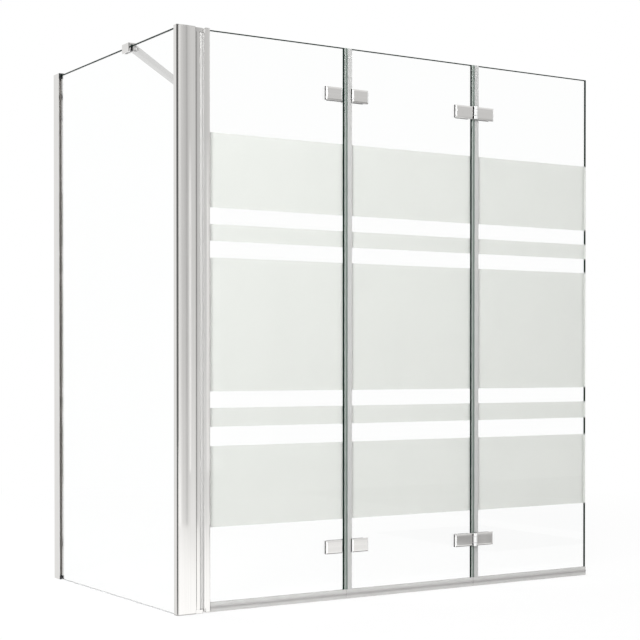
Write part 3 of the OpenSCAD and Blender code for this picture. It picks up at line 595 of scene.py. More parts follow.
class Bench:
    """Makes pieces out of CAD nodes or anew, and fixes them to the frame."""

    def __init__(self, nodes: dict[str, bpy.types.Object]) -> None:
        """Holds the CAD nodes by name."""
        self.nodes = nodes
        self.dressed: list[str] = []

    def body(self, node: str) -> str:
        """The body that a CAD node rides on."""
        return self.nodes[node]["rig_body"]

    def fix(self, piece: bpy.types.Object, body: str, finish: Finish, *nodes: str) -> None:
        """Fixes a finished piece to a body.

        Args:
            piece: The piece, whose place is in its mesh.
            body: The body that it rides on.
            finish: The finish, whose name goes in the log.
            nodes: The CAD nodes that it stands for.
        """
        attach(piece, body)
        if nodes:
            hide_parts(*nodes)
            self.dressed.extend(nodes)
        log.info("made %s on %s in %s, %d faces", piece.name, body, finish.name,
                 len(piece.data.polygons))

    def merged(self, node: str) -> bpy.types.Mesh:
        """A copy of a CAD node's mesh with its triangles joined and flat faces made whole."""
        mesh = self.nodes[node].data.copy()
        mesh.name = node
        work = bmesh.new()
        work.from_mesh(mesh)
        bmesh.ops.remove_doubles(work, verts=work.verts, dist=WELD)
        bmesh.ops.dissolve_limit(work, angle_limit=FLAT, verts=work.verts,
                                 edges=work.edges, use_dissolve_boundaries=False)
        for face in work.faces:
            face.smooth = True
        work.to_mesh(mesh)
        work.free()
        mesh.materials.clear()
        return mesh

    @staticmethod
    def score(mesh: bpy.types.Mesh, cuts: Sequence[tuple[Axis, float]]) -> None:
        """Scores lines round a mesh, where one finish ends and another starts.

        Args:
            mesh: The mesh.
            cuts: A direction and a place along it for each line.
        """
        work = bmesh.new()
        work.from_mesh(mesh)
        for axis, place in cuts:
            normal = Vector(axis.stretched(0.0, 1.0))
            bmesh.ops.bisect_plane(work, geom=work.verts[:] + work.edges[:] + work.faces[:],
                                   plane_co=normal * place, plane_no=normal)
        work.to_mesh(mesh)
        work.free()

    @staticmethod
    def weigh_rim(mesh: bpy.types.Mesh, share: float) -> None:
        """Marks how wide each edge is broken: full along the outline, a share round the holes.

        Args:
            mesh: The mesh of a flat pane.
            share: The width round the holes over the width along the outline.
        """
        work = bmesh.new()
        work.from_mesh(mesh)
        weight = work.edges.layers.float.new("bevel_weight_edge")
        ends = [(min(v.co[k] for v in work.verts), max(v.co[k] for v in work.verts))
                for k in range(3)]
        thin = min(range(3), key=lambda k: ends[k][1] - ends[k][0])
        for edge in work.edges:
            if len(edge.link_faces) < 2 or edge.calc_face_angle() < SHARP:
                continue
            first, second = (vert.co for vert in edge.verts)
            outline = any(abs(first[k] - end) < TOUCH and abs(second[k] - end) < TOUCH
                          for k in range(3) if k != thin for end in ends[k])
            edge[weight] = 1.0 if outline else share
        work.to_mesh(mesh)
        work.free()

    def soften(
        self,
        node: str,
        finish: Finish,
        arris: float = 0.25 * MM,
        steps: int = 2,
        rim: Optional[float] = None,
        cuts: Sequence[tuple[Axis, float]] = (),
        pick: Optional[Callable[[bpy.types.MeshPolygon], Finish]] = None,
    ) -> None:
        """Puts a copy with broken edges and even shading in a CAD node's place.

        Args:
            node: The CAD node.
            finish: The finish of the copy.
            arris: Width of the broken edges, in metres.
            steps: Steps across a broken edge.
            rim: Width of the broken edges along a pane's outline, if that differs.
            cuts: Lines across the faces, each a direction and a place.
            pick: Gives each face its finish, where the piece has more than one.
        """
        rough = bpy.data.objects.new(node + ".rough", self.merged(node))
        bpy.context.scene.collection.objects.link(rough)
        self.score(rough.data, cuts)
        bevel = rough.modifiers.new("arris", "BEVEL")
        bevel.width = rim or arris
        bevel.segments = steps
        bevel.limit_method = "WEIGHT" if rim else "ANGLE"
        bevel.angle_limit = SHARP
        bevel.use_clamp_overlap = False
        if rim:
            self.weigh_rim(rough.data, arris / rim)
        even = rough.modifiers.new("even", "WEIGHTED_NORMAL")
        even.mode = "FACE_AREA"
        even.weight = 50
        piece = self.flatten(rough, node + ".dressed")
        worn = [finish]
        for face in piece.data.polygons:
            one = pick(face) if pick else finish
            if one not in worn:
                worn.append(one)
            face.material_index = worn.index(one)
        for one in worn:
            piece.data.materials.append(one.material())
        self.fix(piece, self.body(node), finish, node)

    @staticmethod
    def flatten(rough: bpy.types.Object, name: str) -> bpy.types.Object:
        """Turns an object with modifiers into a plain mesh piece and removes the rough one.

        Args:
            rough: The object with its modifiers.
            name: The name of the new piece.

        Returns:
            The new piece.
        """
        bpy.context.view_layer.update()
        seen = rough.evaluated_get(bpy.context.evaluated_depsgraph_get())
        mesh = bpy.data.meshes.new_from_object(seen)
        mesh.name = name
        piece = bpy.data.objects.new(name, mesh)
        bpy.context.scene.collection.objects.link(piece)
        rough.modifiers.clear()
        bpy.data.objects.remove(rough)
        return piece

    def islands(self, node: str) -> list[Island]:
        """The loose parts of a CAD node, each by its box."""
        work = bmesh.new()
        work.from_mesh(self.nodes[node].data)
        bmesh.ops.remove_doubles(work, verts=work.verts, dist=WELD)
        found: list[Island] = []
        left = set(work.verts)
        while left:
            part = [left.pop()]
            for vert in part:
                for edge in vert.link_edges:
                    near = edge.other_vert(vert)
                    if near in left:
                        left.remove(near)
                        part.append(near)
            found.append(Island(
                Vector([min(v.co[k] for v in part) for k in range(3)]),
                Vector([max(v.co[k] for v in part) for k in range(3)])))
        work.free()
        return sorted(found, key=lambda p: tuple(round(c, 5) for c in p.low))


# ---- Trees of geometry nodes ----


@dataclass(frozen=True)
class Spot:
    """A place where a repeated piece goes, with its own numbers."""

    place: Vector
    aim: Vector = Vector((0, 0, 1))
    length: float = 0.0


class Repeater:
    """A tree of geometry nodes that puts a shape at each of a list of spots."""

    def __init__(self, name: str, inputs: Sequence[str], finish: Finish) -> None:
        """Starts the tree with its named sizes.

        Args:
            name: Name of the tree.
            inputs: Names of its sizes, all lengths in metres.
            finish: The finish that the tree sets.
        """
        self.tree = bpy.data.node_groups.new(name, "GeometryNodeTree")
        self.graph = Graph(self.tree)
        self.finish = finish
        face = self.tree.interface
        face.new_socket("Geometry", in_out="OUTPUT", socket_type="NodeSocketGeometry")
        face.new_socket("Spots", in_out="INPUT", socket_type="NodeSocketGeometry")
        self.ids = {label: face.new_socket(label, in_out="INPUT",
                                           socket_type="NodeSocketFloat").identifier
                    for label in inputs}
        self.entry = self.tree.nodes.new("NodeGroupInput")

    def size(self, label: str) -> Wire:
        """The named size inside the tree."""
        return Wire(self.graph, self.entry.outputs[label])

    def number(self, label: str) -> Wire:
        """A number that each spot carries."""
        return self.graph.node("GeometryNodeInputNamedAttribute", {"data_type": "FLOAT"},
                               {"Name": label})

    def close(self, shape: Wire, scale: Any = (1, 1, 1), aimed: bool = False) -> None:
        """Ends the tree: the shape goes to every spot, becomes real mesh and takes its finish.

        Args:
            shape: The geometry to repeat.
            scale: Its scale at each spot.
            aimed: Whether its Z turns to each spot's aim.
        """
        graph = self.graph
        inputs: dict[Union[int, str], Any] = {
            "Points": Wire(graph, self.entry.outputs["Spots"]), "Instance": shape, "Scale": scale}
        if aimed:
            aim = graph.node("GeometryNodeInputNamedAttribute", {"data_type": "FLOAT_VECTOR"},
                             {"Name": "aim"})
            inputs["Rotation"] = graph.node("FunctionNodeAlignRotationToVector", {"axis": "Z"},
                                            {"Vector": aim})
        placed = graph.node("GeometryNodeInstanceOnPoints", None, inputs)
        real = graph.node("GeometryNodeRealizeInstances", None, {"Geometry": placed})
        done = graph.node("GeometryNodeSetMaterial", None,
                          {"Geometry": real, "Material": self.finish.material()})
        leave = self.tree.nodes.new("NodeGroupOutput")
        self.tree.links.new(done.socket, leave.inputs["Geometry"])

    def grow(self, name: str, spots: Sequence[Spot], sizes: dict[str, float]) -> bpy.types.Object:
        """Grows the tree on its spots and makes the result a plain mesh piece.

        Args:
            name: Name of the piece.
            spots: Where the shape goes.
            sizes: The named sizes.

        Returns:
            The new piece, in place.
        """
        mesh = bpy.data.meshes.new(name + ".spots")
        mesh.from_pydata([tuple(s.place) for s in spots], [], [])
        for label, kind in (("aim", "FLOAT_VECTOR"), ("length", "FLOAT")):
            mesh.attributes.new(label, kind, "POINT")
        for index, spot in enumerate(spots):
            mesh.attributes["aim"].data[index].vector = spot.aim
            mesh.attributes["length"].data[index].value = spot.length
        rough = bpy.data.objects.new(name + ".rough", mesh)
        bpy.context.scene.collection.objects.link(rough)
        grown = rough.modifiers.new("grow", "NODES")
        grown.node_group = self.tree
        for label, value in sizes.items():
            grown[self.ids[label]] = value
        return Bench.flatten(rough, name)


class BandTree(Repeater):
    """Frosted bands: flat rectangles of one width, each with its own height."""

    def __init__(self, finish: Finish) -> None:
        """Builds the tree."""
        super().__init__("frosted_bands", ["Width", "Thickness"], finish)
        graph = self.graph
        cell = graph.node("GeometryNodeMeshCube", None,
                          {"Size": (1, 1, 1), "Vertices X": 9, "Vertices Z": 5})
        corner = graph.node("GeometryNodeTransform", None,
                            {"Geometry": cell, "Translation": (0.5, 0.5, 0.5)})
        scale = graph.node("ShaderNodeCombineXYZ", None, {
            "X": self.size("Width"), "Y": self.size("Thickness"), "Z": self.number("length")})
        self.close(corner, scale)


class ScrewTree(Repeater):
    """Turned screws with a hexagonal socket, their head's face at the spot."""

    SIDES = 24
    SOCKET_RINGS = 4
    SIZES = ("Head radius", "Head height", "Seat radius", "Shank radius", "Length",
             "Socket radius", "Socket depth", "Arris")

    def __init__(self, finish: Finish) -> None:
        """Builds the tree: a grid is rolled round the axis, ring by ring."""
        super().__init__("socket_screws", self.SIZES, finish)
        graph = self.graph
        head_r, head_h, seat_r, shank_r, length, socket_r, socket_d, arris = (
            self.size(label) for label in self.SIZES)
        rings: list[tuple[Value, Value]] = [
            (0.0, socket_d * -1.12),
            (socket_r * 0.98, socket_d * -1.0),
            (socket_r, arris * -1.0),
            (socket_r + arris, 0.0),
            (head_r - arris, 0.0),
            (head_r, arris * -1.0),
            (seat_r, head_h * -1.0),
            (shank_r, head_h * -1.02),
            (shank_r, arris - length),
            (shank_r - arris, length * -1.0),
            (0.0, length * -1.0)]
        grid = graph.node("GeometryNodeMeshGrid", None, {
            "Size X": 1.0, "Size Y": 1.0, "Vertices X": len(rings), "Vertices Y": self.SIDES + 1})
        place = graph.node("GeometryNodeInputPosition")
        across = graph.node("ShaderNodeSeparateXYZ", None, {"Vector": place}, out="X")
        around = graph.node("ShaderNodeSeparateXYZ", None, {"Vector": place}, out="Y")
        ring = graph.maths("ROUND", (across + 0.5) * float(len(rings) - 1))
        radius = self._pick(ring, [r for r, _ in rings])
        height = self._pick(ring, [h for _, h in rings])
        turn = (around + 0.5) * (2 * math.pi)
        sixth = math.pi / 3
        wrapped = graph.maths("FLOORED_MODULO", turn, sixth)
        flat = math.cos(sixth / 2) * graph.maths("COSINE", wrapped - sixth / 2) ** -1.0
        in_socket = graph.maths("LESS_THAN", ring, self.SOCKET_RINGS - 0.5)
        reach = radius * (1.0 - in_socket + in_socket * flat)
        rolled = graph.node("ShaderNodeCombineXYZ", None, {
            "X": reach * graph.maths("COSINE", turn),
            "Y": reach * graph.maths("SINE", turn),
            "Z": height})
        shaped = graph.node("GeometryNodeSetPosition", None, {"Geometry": grid, "Position": rolled})
        closed = graph.node("GeometryNodeMergeByDistance", None,
                            {"Geometry": shaped, "Distance": WELD})
        self.close(closed, aimed=True)

    def fit(self, bench: "Bench", node: str, size: "ScrewSize", spots: Sequence[Spot]) -> None:
        """Puts turned screws in a CAD node's place.

        Args:
            bench: The bench that fixes them.
            node: The CAD node that they stand for.
            size: Their sizes.
            spots: The middle of each head's face, and the way that it faces.
        """
        piece = self.grow(node + ".dressed", spots, size.sizes())
        shape = bmesh.new()
        shape.from_mesh(piece.data)
        bmesh.ops.recalc_face_normals(shape, faces=shape.faces)
        shape.to_mesh(piece.data)
        shape.free()
        bench.fix(piece, bench.body(node), self.finish, node)

    def _pick(self, ring: Wire, values: Sequence[Value]) -> Wire:
        """The value that belongs to each ring."""
        switch = self.tree.nodes.new("GeometryNodeIndexSwitch")
        switch.data_type = "FLOAT"
        while len(switch.index_switch_items) < len(values):
            switch.index_switch_items.new()
        self.tree.links.new(ring.socket, switch.inputs["Index"])
        for index, value in enumerate(values):
            socket = switch.inputs[1 + index]
            if isinstance(value, Wire):
                self.tree.links.new(value.socket, socket)
            else:
                socket.default_value = value
        return Wire(self.graph, switch.outputs[0])


@dataclass(frozen=True)
class ScrewSize:
    """The sizes of one kind of socket screw, in metres."""

    head_r: float
    head_h: float
    shank_r: float
    length: float
    socket_r: float
    socket_d: float
    countersunk: bool = True
    arris: float = 0.2 * MM

    def sizes(self) -> dict[str, float]:
        """The sizes under the names that the screw tree uses."""
        seat = self.shank_r if self.countersunk else self.head_r
        return dict(zip(ScrewTree.SIZES, (self.head_r, self.head_h, seat, self.shank_r,
                                          self.length, self.socket_r, self.socket_d, self.arris)))


# ---- Sub-assemblies ----


@dataclass
class SidePane:
    """The fixed pane with its wall channel, gaskets, plugs and sill strip."""

    bench: Bench
    glass_arris: float = 1.2 * MM
    strip_arris: float = 0.3 * MM
    painted_top_band: float = 3.6 * MM
    low_edge: float = 40 * MM

    def dress(self) -> None:
        """Dresses every piece of the side pane."""
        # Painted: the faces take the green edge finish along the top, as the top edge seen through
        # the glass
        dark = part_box("side_glass")[1][2] - self.painted_top_band
        self.bench.soften("side_glass", PANE, self.glass_arris, 1, cuts=[(Axis.Z, dark)],
                          pick=lambda face: self._side_finish(face, dark))
        self.bench.soften("wall_channel", PROFILE_METAL)
        for node, finish in (("wall_channel_caps", BLACK),
                             ("wall_channel_gaskets", CHANNEL_RUBBER),
                             ("side_sill_strip", SILL_SEAL)):
            self.bench.soften(node, finish, self.strip_arris)

    def _side_finish(self, face: bpy.types.MeshPolygon, dark: float) -> Finish:
        """The pane's edges are green, but the one on the sill strip stays clear.

        Args:
            face: A face of the pane.
            dark: The height from which the top edge's green is painted on the faces: the edge seen
                through the glass.

        Returns:
            The face's finish.
        """
        if face.center.z < self.low_edge:
            return PANE
        return PANE if abs(face.normal.x) > SQUARE and face.center.z < dark else PANE_EDGE


@dataclass
class CornerPost:
    """The corner post with its caps, the adjuster that slides in it and the bearing blocks."""

    bench: Bench
    screws: ScrewTree
    cap_arris: float = 0.2 * MM
    pin_arris: float = 0.3 * MM
    screw_arris: float = 0.15 * MM
    block_screw: ScrewSize = ScrewSize(3.88 * MM, 2 * MM, 1.9 * MM, 24 * MM, 1.42 * MM, 1.4 * MM)

    def dress(self) -> None:
        """Dresses every piece of the post."""
        for node in ("corner_post", "adjuster_profile"):
            self.bench.soften(node, PROFILE_METAL)
        for node in ("post_top_cap", "pivot_bearing_top", "pivot_bearing_bottom"):
            self.bench.soften(node, CAP_METAL, self.cap_arris)
        self.bench.soften("post_foot_cap", SHADED_FOOT_METAL, self.cap_arris)
        self.bench.soften("post_gaskets", UPRIGHT_SEAL, self.cap_arris)
        self.bench.soften("pivot_pins", STEEL, self.pin_arris)
        self.bench.soften("adjuster_screws", STEEL, self.screw_arris)
        self._block_screws()

    def _block_screws(self) -> None:
        """The countersunk screws that hold the bearing blocks, one at each end."""
        spots = []
        for part in self.bench.islands("bearing_screws"):
            up = part.middle.z > HALF_HEIGHT
            spots.append(Spot(Vector((part.middle.x, part.middle.y,
                                      part.high.z if up else part.low.z)),
                              Vector((0, 0, 1 if up else -1))))
        self.screws.fit(self.bench, "bearing_screws", self.block_screw, spots)


@dataclass
class Leaf:
    """One folding leaf: its pane, frosted bands, bottom seal and upright seal."""

    LAST = 3
    # Painted shade on the edge seal: places in mm from the pane's edge, and its share
    SHADE_PAINTED_ON_SEAL = ((-10.0, 0.3), (-8.0, 0.35), (-7.4, 1.0), (-1.6, 1.0), (-0.8, 0.0),
                        (0.0, 0.0))

    bench: Bench
    bands: BandTree
    number: int
    hole_arris: float = 0.5 * MM
    glass_arris: float = 1.2 * MM
    seal_arris: float = 0.2 * MM
    # Widths of the painted dark bands on the outer face, which show the edges seen through the
    # glass
    painted_top_band: float = 3.4 * MM
    painted_end_band: float = 5.6 * MM
    painted_free_end_band: float = 8 * MM
    film_gap: float = 0.05 * MM

    @property
    def name(self) -> str:
        """The leaf's name, which is its body too."""
        return f"leaf_{self.number}"

    def dress(self) -> None:
        """Dresses every piece of the leaf."""
        low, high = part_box(self.name + "_glass")
        edge, painted_end_band = PANE_EDGE, self.painted_end_band
        if self.number == self.LAST:
            edge = PaneEdge("free_pane_edge", Slot.GLASS, frosted=self._frosted_heights())
            painted_end_band = self.painted_free_end_band
        # Painted: the outer face takes the edge finish along its top and far end, as the edges seen
        # through the glass
        end, top = high[0] - painted_end_band, high[2] - self.painted_top_band
        self.bench.soften(self.name + "_glass", PANE, self.hole_arris, 1, self.glass_arris,
                          [(Axis.X, end), (Axis.Z, top)],
                          lambda face: PANE if self._is_clear(face, end, top) else edge)
        self.bench.soften(self.name + "_bottom_seal", LYING_SEAL, self.seal_arris)
        if self.number > 1:
            # Painted shade on the seal's bulb in the gap between the panes
            through = tuple((low[0] + back * MM, share) for back, share in self.SHADE_PAINTED_ON_SEAL)
            seal = SoftSeal(self.name + "_edge_seal", Slot.SEAL, through=through)
            self.bench.soften(self.name + "_edge_seal", seal, self.seal_arris)
        self._frost()

    @staticmethod
    def _is_clear(face: bpy.types.MeshPolygon, end: float, top: float) -> bool:
        """Whether a face of the pane is clear: the inner face, and most of the outer face.

        Args:
            face: A face of the pane.
            end: Where the outer face turns dark along X: its far end, seen through the glass, is
                painted on it.
            top: Where it turns dark along Z: its top edge, seen through the glass, is painted on
                it.

        Returns:
            True for a clear face.
        """
        outer = face.normal.y < -SQUARE and face.center.x < end and face.center.z < top
        return outer or face.normal.y > SQUARE

    def _frosted_heights(self) -> Stops:
        """1 at the heights of the frosted bands and 0 between them, as stops along Z."""
        stops: list[tuple[float, float]] = []
        bands = self.bench.islands(self.name + "_print")
        for low, high in sorted((band.low.z, band.high.z) for band in bands):
            stops += [(low - MM, 0.0), (low, 1.0), (high, 1.0), (high + MM, 0.0)]
        return tuple(stops)

    def _frost(self) -> None:
        """The frosted bands, a hair off the glass so that the two faces don't meet."""
        node = self.name + "_print"
        parts = self.bench.islands(node)
        first = parts[0]
        spots = [Spot(part.low + Vector((0, self.film_gap, 0)), length=part.high.z - part.low.z)
                 for part in parts]
        piece = self.bands.grow(node + ".dressed", spots, {
            "Width": first.high.x - first.low.x,
            "Thickness": first.high.y - first.low.y - self.film_gap})
        self.bench.fix(piece, self.name, FROST, node)


@dataclass
class PivotProfile:
    """The profile that holds leaf 1 and turns on the bearing blocks' pins."""

    bench: Bench
    cap_arris: float = 0.3 * MM
    soft_arris: float = 0.2 * MM

    def dress(self) -> None:
        """Dresses the profile, polished where it holds the pane and satin where it turns."""
        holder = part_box("pivot_profile_caps")[0][0]
        self.bench.soften(
            "pivot_profile", PROFILE_METAL,
            pick=lambda face: PROFILE_METAL if face.center.x > holder else SATIN_METAL)
        self.bench.soften("pivot_profile_caps", CAP_METAL, self.cap_arris)
        self.bench.soften("pivot_bushes", BLACK, self.soft_arris)
        self.bench.soften("leaf_1_gasket", UPRIGHT_SEAL, self.soft_arris)


@dataclass
class FoldHinge:
    """The two hinges of one joint: plates, covers, pads, pins, washers and screws."""

    bench: Bench
    screws: ScrewTree
    number: int
    plate_arris: float = 0.35 * MM
    pad_arris: float = 0.15 * MM
    pin_arris: float = 0.4 * MM
    washer_arris: float = 0.1 * MM
    # Height of the painted shade along the foot of each plate
    painted_shade_foot: float = 2 * MM
    screw: ScrewSize = ScrewSize(5.5 * MM, 2.5 * MM, 3 * MM, 20.5 * MM, 2.1 * MM, 2.5 * MM)

    def dress(self) -> None:
        """Dresses every piece of both hinges."""
        start = f"hinge_{self.number}_"
        low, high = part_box(start + "washers")
        for side in ("fixed", "moving"):
            for part in ("plates", "covers"):
                node = f"{start}{side}_{part}"
                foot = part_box(node)[0][2] + self.painted_shade_foot
                self.bench.soften(
                    node, HINGE_METAL, self.plate_arris, cuts=[(Axis.Z, foot)],
                    pick=lambda face: self._plate_finish(face, low[0], high[0], foot))
            self.bench.soften(f"{start}{side}_pads", PAD, self.pad_arris)
            self._fill_screws(f"{start}{side}_screws")
        self.bench.soften(start + "pins", STEEL, self.pin_arris)
        self.bench.soften(start + "washers", BLACK, self.washer_arris)

    @staticmethod
    def _plate_finish(face: bpy.types.MeshPolygon, start: float, end: float,
                      foot: float) -> Finish:
        """Chromed plates, with satin knuckles and end bevels in a painted highlight, and painted
        shade on the ends, the undersides and the foot.

        Args:
            face: A face of a plate.
            start: Where the knuckle starts along X.
            end: Where it ends.
            foot: The height below which the lower plate's foot is dark: painted shade.

        Returns:
            The face's finish.
        """
        # Knuckles and sloped end bevels take the lighter satin copy: painted highlight
        if start < face.center.x < end or SLOPED < abs(face.normal.x) < SQUARE:
            return SATIN_HIGHLIGHT_METAL
        # Painted shade on the ends that face away, on the undersides and along the foot
        if face.normal.x < -SQUARE or face.normal.z < -SQUARE or face.center.z < foot:
            return PAINTED_SHADE_HINGE_METAL
        return HINGE_METAL

    def _fill_screws(self, node: str) -> None:
        """The countersunk screws of one leaf's plates, with their heads on the inner face."""
        spots = [Spot(Vector((p.middle.x, p.high.y, p.middle.z)), Vector((0, 1, 0)))
                 for p in self.bench.islands(node)]
        self.screws.fit(self.bench, node, self.screw, spots)


@dataclass
class StabiliserBar:
    """The square bar with its forks, the clamp on the pane and the wall bracket."""

    bench: Bench
    screws: ScrewTree
    bar_arris: float = 0.8 * MM
    bar_steps: int = 3
    fork_arris: float = 0.5 * MM
    fitting_arris: float = 0.4 * MM
    liner_arris: float = 0.2 * MM
    downward: float = -0.5
    pivot_screw: ScrewSize = ScrewSize(4.5 * MM, 3 * MM, 2.5 * MM, 19 * MM, 2 * MM, 2 * MM,
                                       countersunk=False, arris=0.4 * MM)
    set_screw: ScrewSize = ScrewSize(2.5 * MM, 1 * MM, 2.5 * MM, 5.5 * MM, 1.375 * MM, 2.5 * MM,
                                     countersunk=False)

    def dress(self) -> None:
        """Dresses the bar and its fittings."""
        self.bench.soften("stabiliser_bar", BAR_METAL, self.bar_arris, self.bar_steps)
        for node in ("bar_fork_glass_end", "bar_fork_wall_end"):
            self.bench.soften(node, BAR_METAL, self.fork_arris)
        for node in ("bar_clamp", "wall_bracket"):
            self.bench.soften(node, FITTING_METAL, self.fitting_arris)
        self.bench.soften(
            "bar_clamp_liner", BLACK, self.liner_arris,
            pick=lambda face: SILL_SEAL if face.normal.z < self.downward else BLACK)
        self._turned("bar_pivot_screws", self.pivot_screw, Vector((0, 0, 1)))
        self._turned("bar_clamp_screws", self.set_screw, Vector((1, 0, 0)))

    def _turned(self, node: str, size: ScrewSize, aim: Vector) -> None:
        """Puts turned screws where a CAD node has them.

        Args:
            node: The CAD node that they stand for.
            size: Their sizes.
            aim: The way that their heads face.
        """
        spots = [Spot(Vector([high if turned else middle for turned, high, middle in zip(
            aim, part.high, part.middle)]), aim) for part in self.bench.islands(node)]
        self.screws.fit(self.bench, node, size, spots)


# ---- Studio ----


@dataclass(frozen=True)
class SoftBox:
    """A large soft lamp."""

    name: str
    place: Triple
    aim: Triple
    width: float
    height: float
    power: float

    def hang(self) -> None:
        """Hangs the lamp."""
        lamp = bpy.data.lights.new(self.name, "AREA")
        lamp.shape = "RECTANGLE"
        lamp.size = self.width
        lamp.size_y = self.height
        lamp.energy = self.power
        made = bpy.data.objects.new(self.name, lamp)
        made.location = self.place
        facing = Vector(self.aim) - Vector(self.place)
        made.rotation_euler = facing.to_track_quat("-Z", "Y").to_euler()
        made.visible_camera = False
        made.visible_glossy = False
        made.visible_transmission = False
        bpy.context.scene.collection.objects.link(made)


@dataclass(frozen=True)
class RoomTone(Finish):
    """The tone of a part of the room, which only polished surfaces show."""

    along: Axis = Axis.X
    tones: Stops = ((0.0, 1.0), (1.0, 1.0))
    rise: Stops = ((0.0, 1.0), (1.0, 1.0))

    def surface(self, graph: Graph) -> Wire:
        """Light whose level follows two directions; every ray but a mirrored one passes."""
        level = graph.along(self.along, self.tones) * graph.along(Axis.Z, self.rise)
        light = graph.node("ShaderNodeEmission", None, {"Color": level, "Strength": 1.0})
        clear = graph.node("ShaderNodeBsdfTransparent")
        mirrored = graph.ray("Is Glossy Ray") * (1.0 - graph.ray("Is Transmission Ray"))
        return graph.mix(mirrored, clear, light)


@dataclass(frozen=True)
class Card:
    """A flat card of room tone that only polished surfaces show."""

    tone: RoomTone
    corners: Corners

    def stand(self) -> None:
        """Stands the card in the studio."""
        mesh = bpy.data.meshes.new(self.tone.name)
        mesh.from_pydata(self.corners, [], [(0, 1, 2, 3)])
        mesh.materials.append(self.tone.material())
        card = bpy.data.objects.new(self.tone.name, mesh)
        card.visible_camera = False
        card.visible_diffuse = False
        card.visible_shadow = False
        card.visible_volume_scatter = False
        bpy.context.scene.collection.objects.link(card)


def upright(start: tuple[float, float], end: tuple[float, float], low: float,
            high: float) -> Corners:
    """Corners of a card that stands from one place on the floor to another.

    Args:
        start: X and Y of its left side.
        end: X and Y of its right side.
        low: Height of its foot.
        high: Height of its top.

    Returns:
        The four corners.
    """
    return ((*start, low), (*end, low), (*end, high), (*start, high))


def facing(bearing: float, distance: float, half: float, top: float) -> Corners:
    """Corners of a card that stands on the floor and faces the part.

    Args:
        bearing: Where it stands, in degrees from the front towards the right.
        distance: How far from the near corner, in metres.
        half: Half its width.
        top: Its height.

    Returns:
        The four corners.
    """
    turn = math.radians(bearing)
    out = (math.sin(turn) * distance, -math.cos(turn) * distance)
    side = (math.cos(turn) * half, math.sin(turn) * half)
    return upright((out[0] - side[0], out[1] - side[1]), (out[0] + side[0], out[1] + side[1]),
                   0.0, top)


def lying(left: float, right: float, near: float, far: float, drop: float) -> Corners:
    """Corners of a card that lies just over the floor.

    Args:
        left: Its lowest X.
        right: Its highest X.
        near: Its lowest Y.
        far: Its highest Y.
        drop: How far it lies under the part's foot.

    Returns:
        The four corners.
    """
    return ((left, near, -drop), (right, near, -drop), (right, far, -drop), (left, far, -drop))


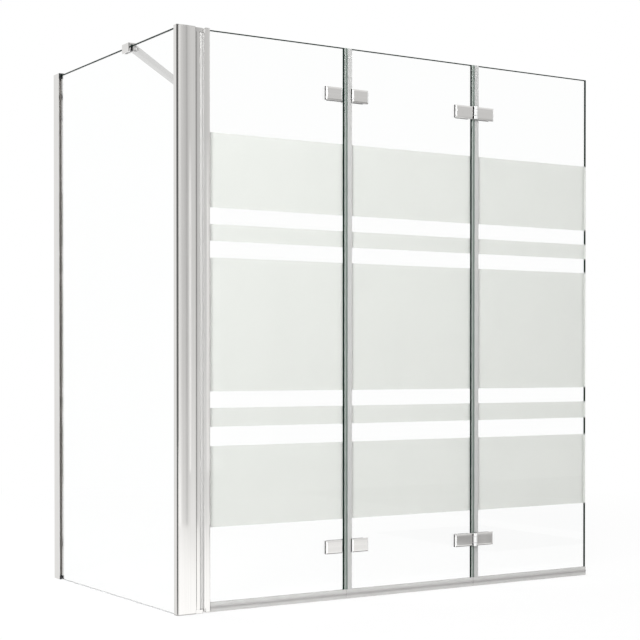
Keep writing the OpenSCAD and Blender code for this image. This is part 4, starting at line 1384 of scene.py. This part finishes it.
@dataclass
class Studio:
    """The pale floor, the white surroundings, the lamps and the camera."""

    camera_place: Triple = (-1.6066, -3.1916, 0.5984)
    camera_turn: Triple = (math.radians(90 - 0.587), 0.0, math.radians(-32.19))
    lens: float = 84.2
    sensor: float = 36.0
    shift_y: float = 0.0923
    floor_half: float = 9.0
    floor_drop: float = 0.3 * MM
    room_distance: float = 7.0
    room_top: float = 6.0
    dim_bearings: range = range(-103, 10, 27)
    ambient: float = 0.35
    boxes: tuple[SoftBox, ...] = (
        SoftBox("key_box", (-2.6, -3.4, 3.0), (0.5, 0.0, 0.7), 2.4, 2.0, 302.0),
        SoftBox("fill_box", (3.2, -2.8, 1.8), (0.5, 0.0, 0.7), 2.0, 2.4, 16.0),
        SoftBox("back_box", (-1.0, 3.4, 3.2), (0.4, 0.3, 0.7), 2.4, 2.0, 105.0),
    )

    def set_up(self) -> None:
        """Sets up the whole studio."""
        self._floor()
        self._surroundings()
        for box in self.boxes:
            box.hang()
        for card in self._cards():
            card.stand()
        self._camera()
        bpy.context.scene.view_settings.view_transform = "Standard"

    def _floor(self) -> None:
        """Lays the floor just under the part."""
        half = self.floor_half
        mesh = bpy.data.meshes.new("studio_floor")
        mesh.from_pydata(lying(-half, half, -half, half, self.floor_drop), [], [(0, 1, 2, 3)])
        floor = bpy.data.objects.new("studio_floor", mesh)
        bpy.context.scene.collection.objects.link(floor)
        mesh.materials.append(StudioSweep("studio_floor", Slot.FROST).material())

    def _surroundings(self) -> None:
        """White to the eye, to metal and to glass; a soft grey light on matt surfaces."""
        world = bpy.data.worlds.new("white_room")
        bpy.context.scene.world = world
        world.use_nodes = True
        world.node_tree.nodes.clear()
        graph = Graph(world.node_tree)
        seen = graph.ray("Is Camera Ray", "Is Glossy Ray", "Is Transmission Ray")
        strength = seen * (1.0 - self.ambient) + self.ambient
        sky = graph.node("ShaderNodeBackground", None,
                         {"Color": (1, 1, 1, 1), "Strength": strength})
        output = world.node_tree.nodes.new("ShaderNodeOutputWorld")
        world.node_tree.links.new(sky.socket, output.inputs["Surface"])

    def _cards(self) -> list[Card]:
        """What polished surfaces show: the dim room by the camera, the wall opposite, the floor."""
        slot, away, top = Slot.FROST, self.room_distance, self.room_top
        dim = [Card(RoomTone(f"dim_room_{index}", slot, Axis.Z, ((0.0, 0.2), (4.0, 0.12))),
                    facing(bearing, away, 1.75, top))
               for index, bearing in enumerate(self.dim_bearings)]
        return dim + [
            Card(RoomTone("wall_opposite", slot, Axis.X, ((0.0, 0.86), (3.0, 0.8), (6.5, 0.78))),
                 facing(42.0, away, 3.2, top)),
            Card(RoomTone("screen_by_the_post", slot, Axis.X,
                          ((0.6, 0.15), (0.688, 0.2), (0.705, 1.35), (0.732, 1.3), (0.748, 0.88),
                           (0.776, 1.08), (0.79, 1.0), (0.81, 0.82), (0.85, 0.74), (0.89, 0.72),
                           (0.912, 0.58), (0.942, 0.58), (0.957, 0.7), (0.99, 0.76),
                           (1.03, 0.84), (1.2, 0.82)),
                          ((0.0, 1.35), (0.26, 1.18), (0.65, 1.05), (1.0, 1.0))),
                 upright((0.59, -1.944), (1.205, -1.629), 0.0, 2.2)),
            Card(RoomTone("floor_near", slot, Axis.X,
                          ((0.05, 1.4), (0.35, 1.35), (0.95, 1.12), (1.9, 1.1), (3.3, 0.85))),
                 lying(0.0, 3.3, -6.5, -0.02, 0.1 * MM)),
            Card(RoomTone("floor_dim", slot, Axis.X, ((-6.0, 0.16), (-0.4, 0.2), (-0.1, 0.3))),
                 ((-6.5, -6.5, -0.1 * MM), (0.0, -6.5, -0.1 * MM), (-0.01, -0.02, -0.1 * MM),
                  (-6.5, 2.0, -0.1 * MM))),
            Card(RoomTone("floor_right", slot, Axis.X, ((2.0, 0.75), (2.2, 0.6), (4.5, 0.6))),
                 lying(2.0, 4.5, -2.8, -0.8, 0.05 * MM)),
            Card(RoomTone("light_by_the_post", slot, Axis.X, ((0.99, 1.1), (1.0, 1.3), (1.03, 1.3)),
                          ((0.2, 1.0), (1.2, 1.0), (1.42, 0.7))),
                 upright((0.996, -1.726), (1.03, -1.7086), 0.2, 1.42)),
            Card(RoomTone("floor_by_the_end", slot, Axis.X, ((1.38, 0.62), (1.5, 0.5), (1.8, 0.5))),
                 lying(1.38, 1.85, -1.2, -0.55, 0.02 * MM))]

    def _camera(self) -> None:
        """Stands the camera at the photograph's angle."""
        data = bpy.data.cameras.new("studio_camera")
        data.lens = self.lens
        data.sensor_width = self.sensor
        data.shift_y = self.shift_y
        camera = bpy.data.objects.new("studio_camera", data)
        camera.location = self.camera_place
        camera.rotation_euler = self.camera_turn
        bpy.context.scene.collection.objects.link(camera)
        bpy.context.scene.camera = camera


def main() -> None:
    """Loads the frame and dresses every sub-assembly."""
    logging.basicConfig(level=logging.INFO, format="%(message)s")
    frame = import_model()
    bench = Bench(frame["nodes"])
    Studio().set_up()
    screws = ScrewTree(STEEL)
    bands = BandTree(FROST)
    SidePane(bench).dress()
    CornerPost(bench, screws).dress()
    PivotProfile(bench).dress()
    for number in (1, 2, 3):
        Leaf(bench, bands, number).dress()
    for number in (1, 2):
        FoldHinge(bench, screws, number).dress()
    StabiliserBar(bench, screws).dress()
    bare = sorted(set(frame["nodes"]) - set(bench.dressed))
    log.info("CAD nodes without a finish: %s", bare or "none")


if __name__ == "__main__":
    main()
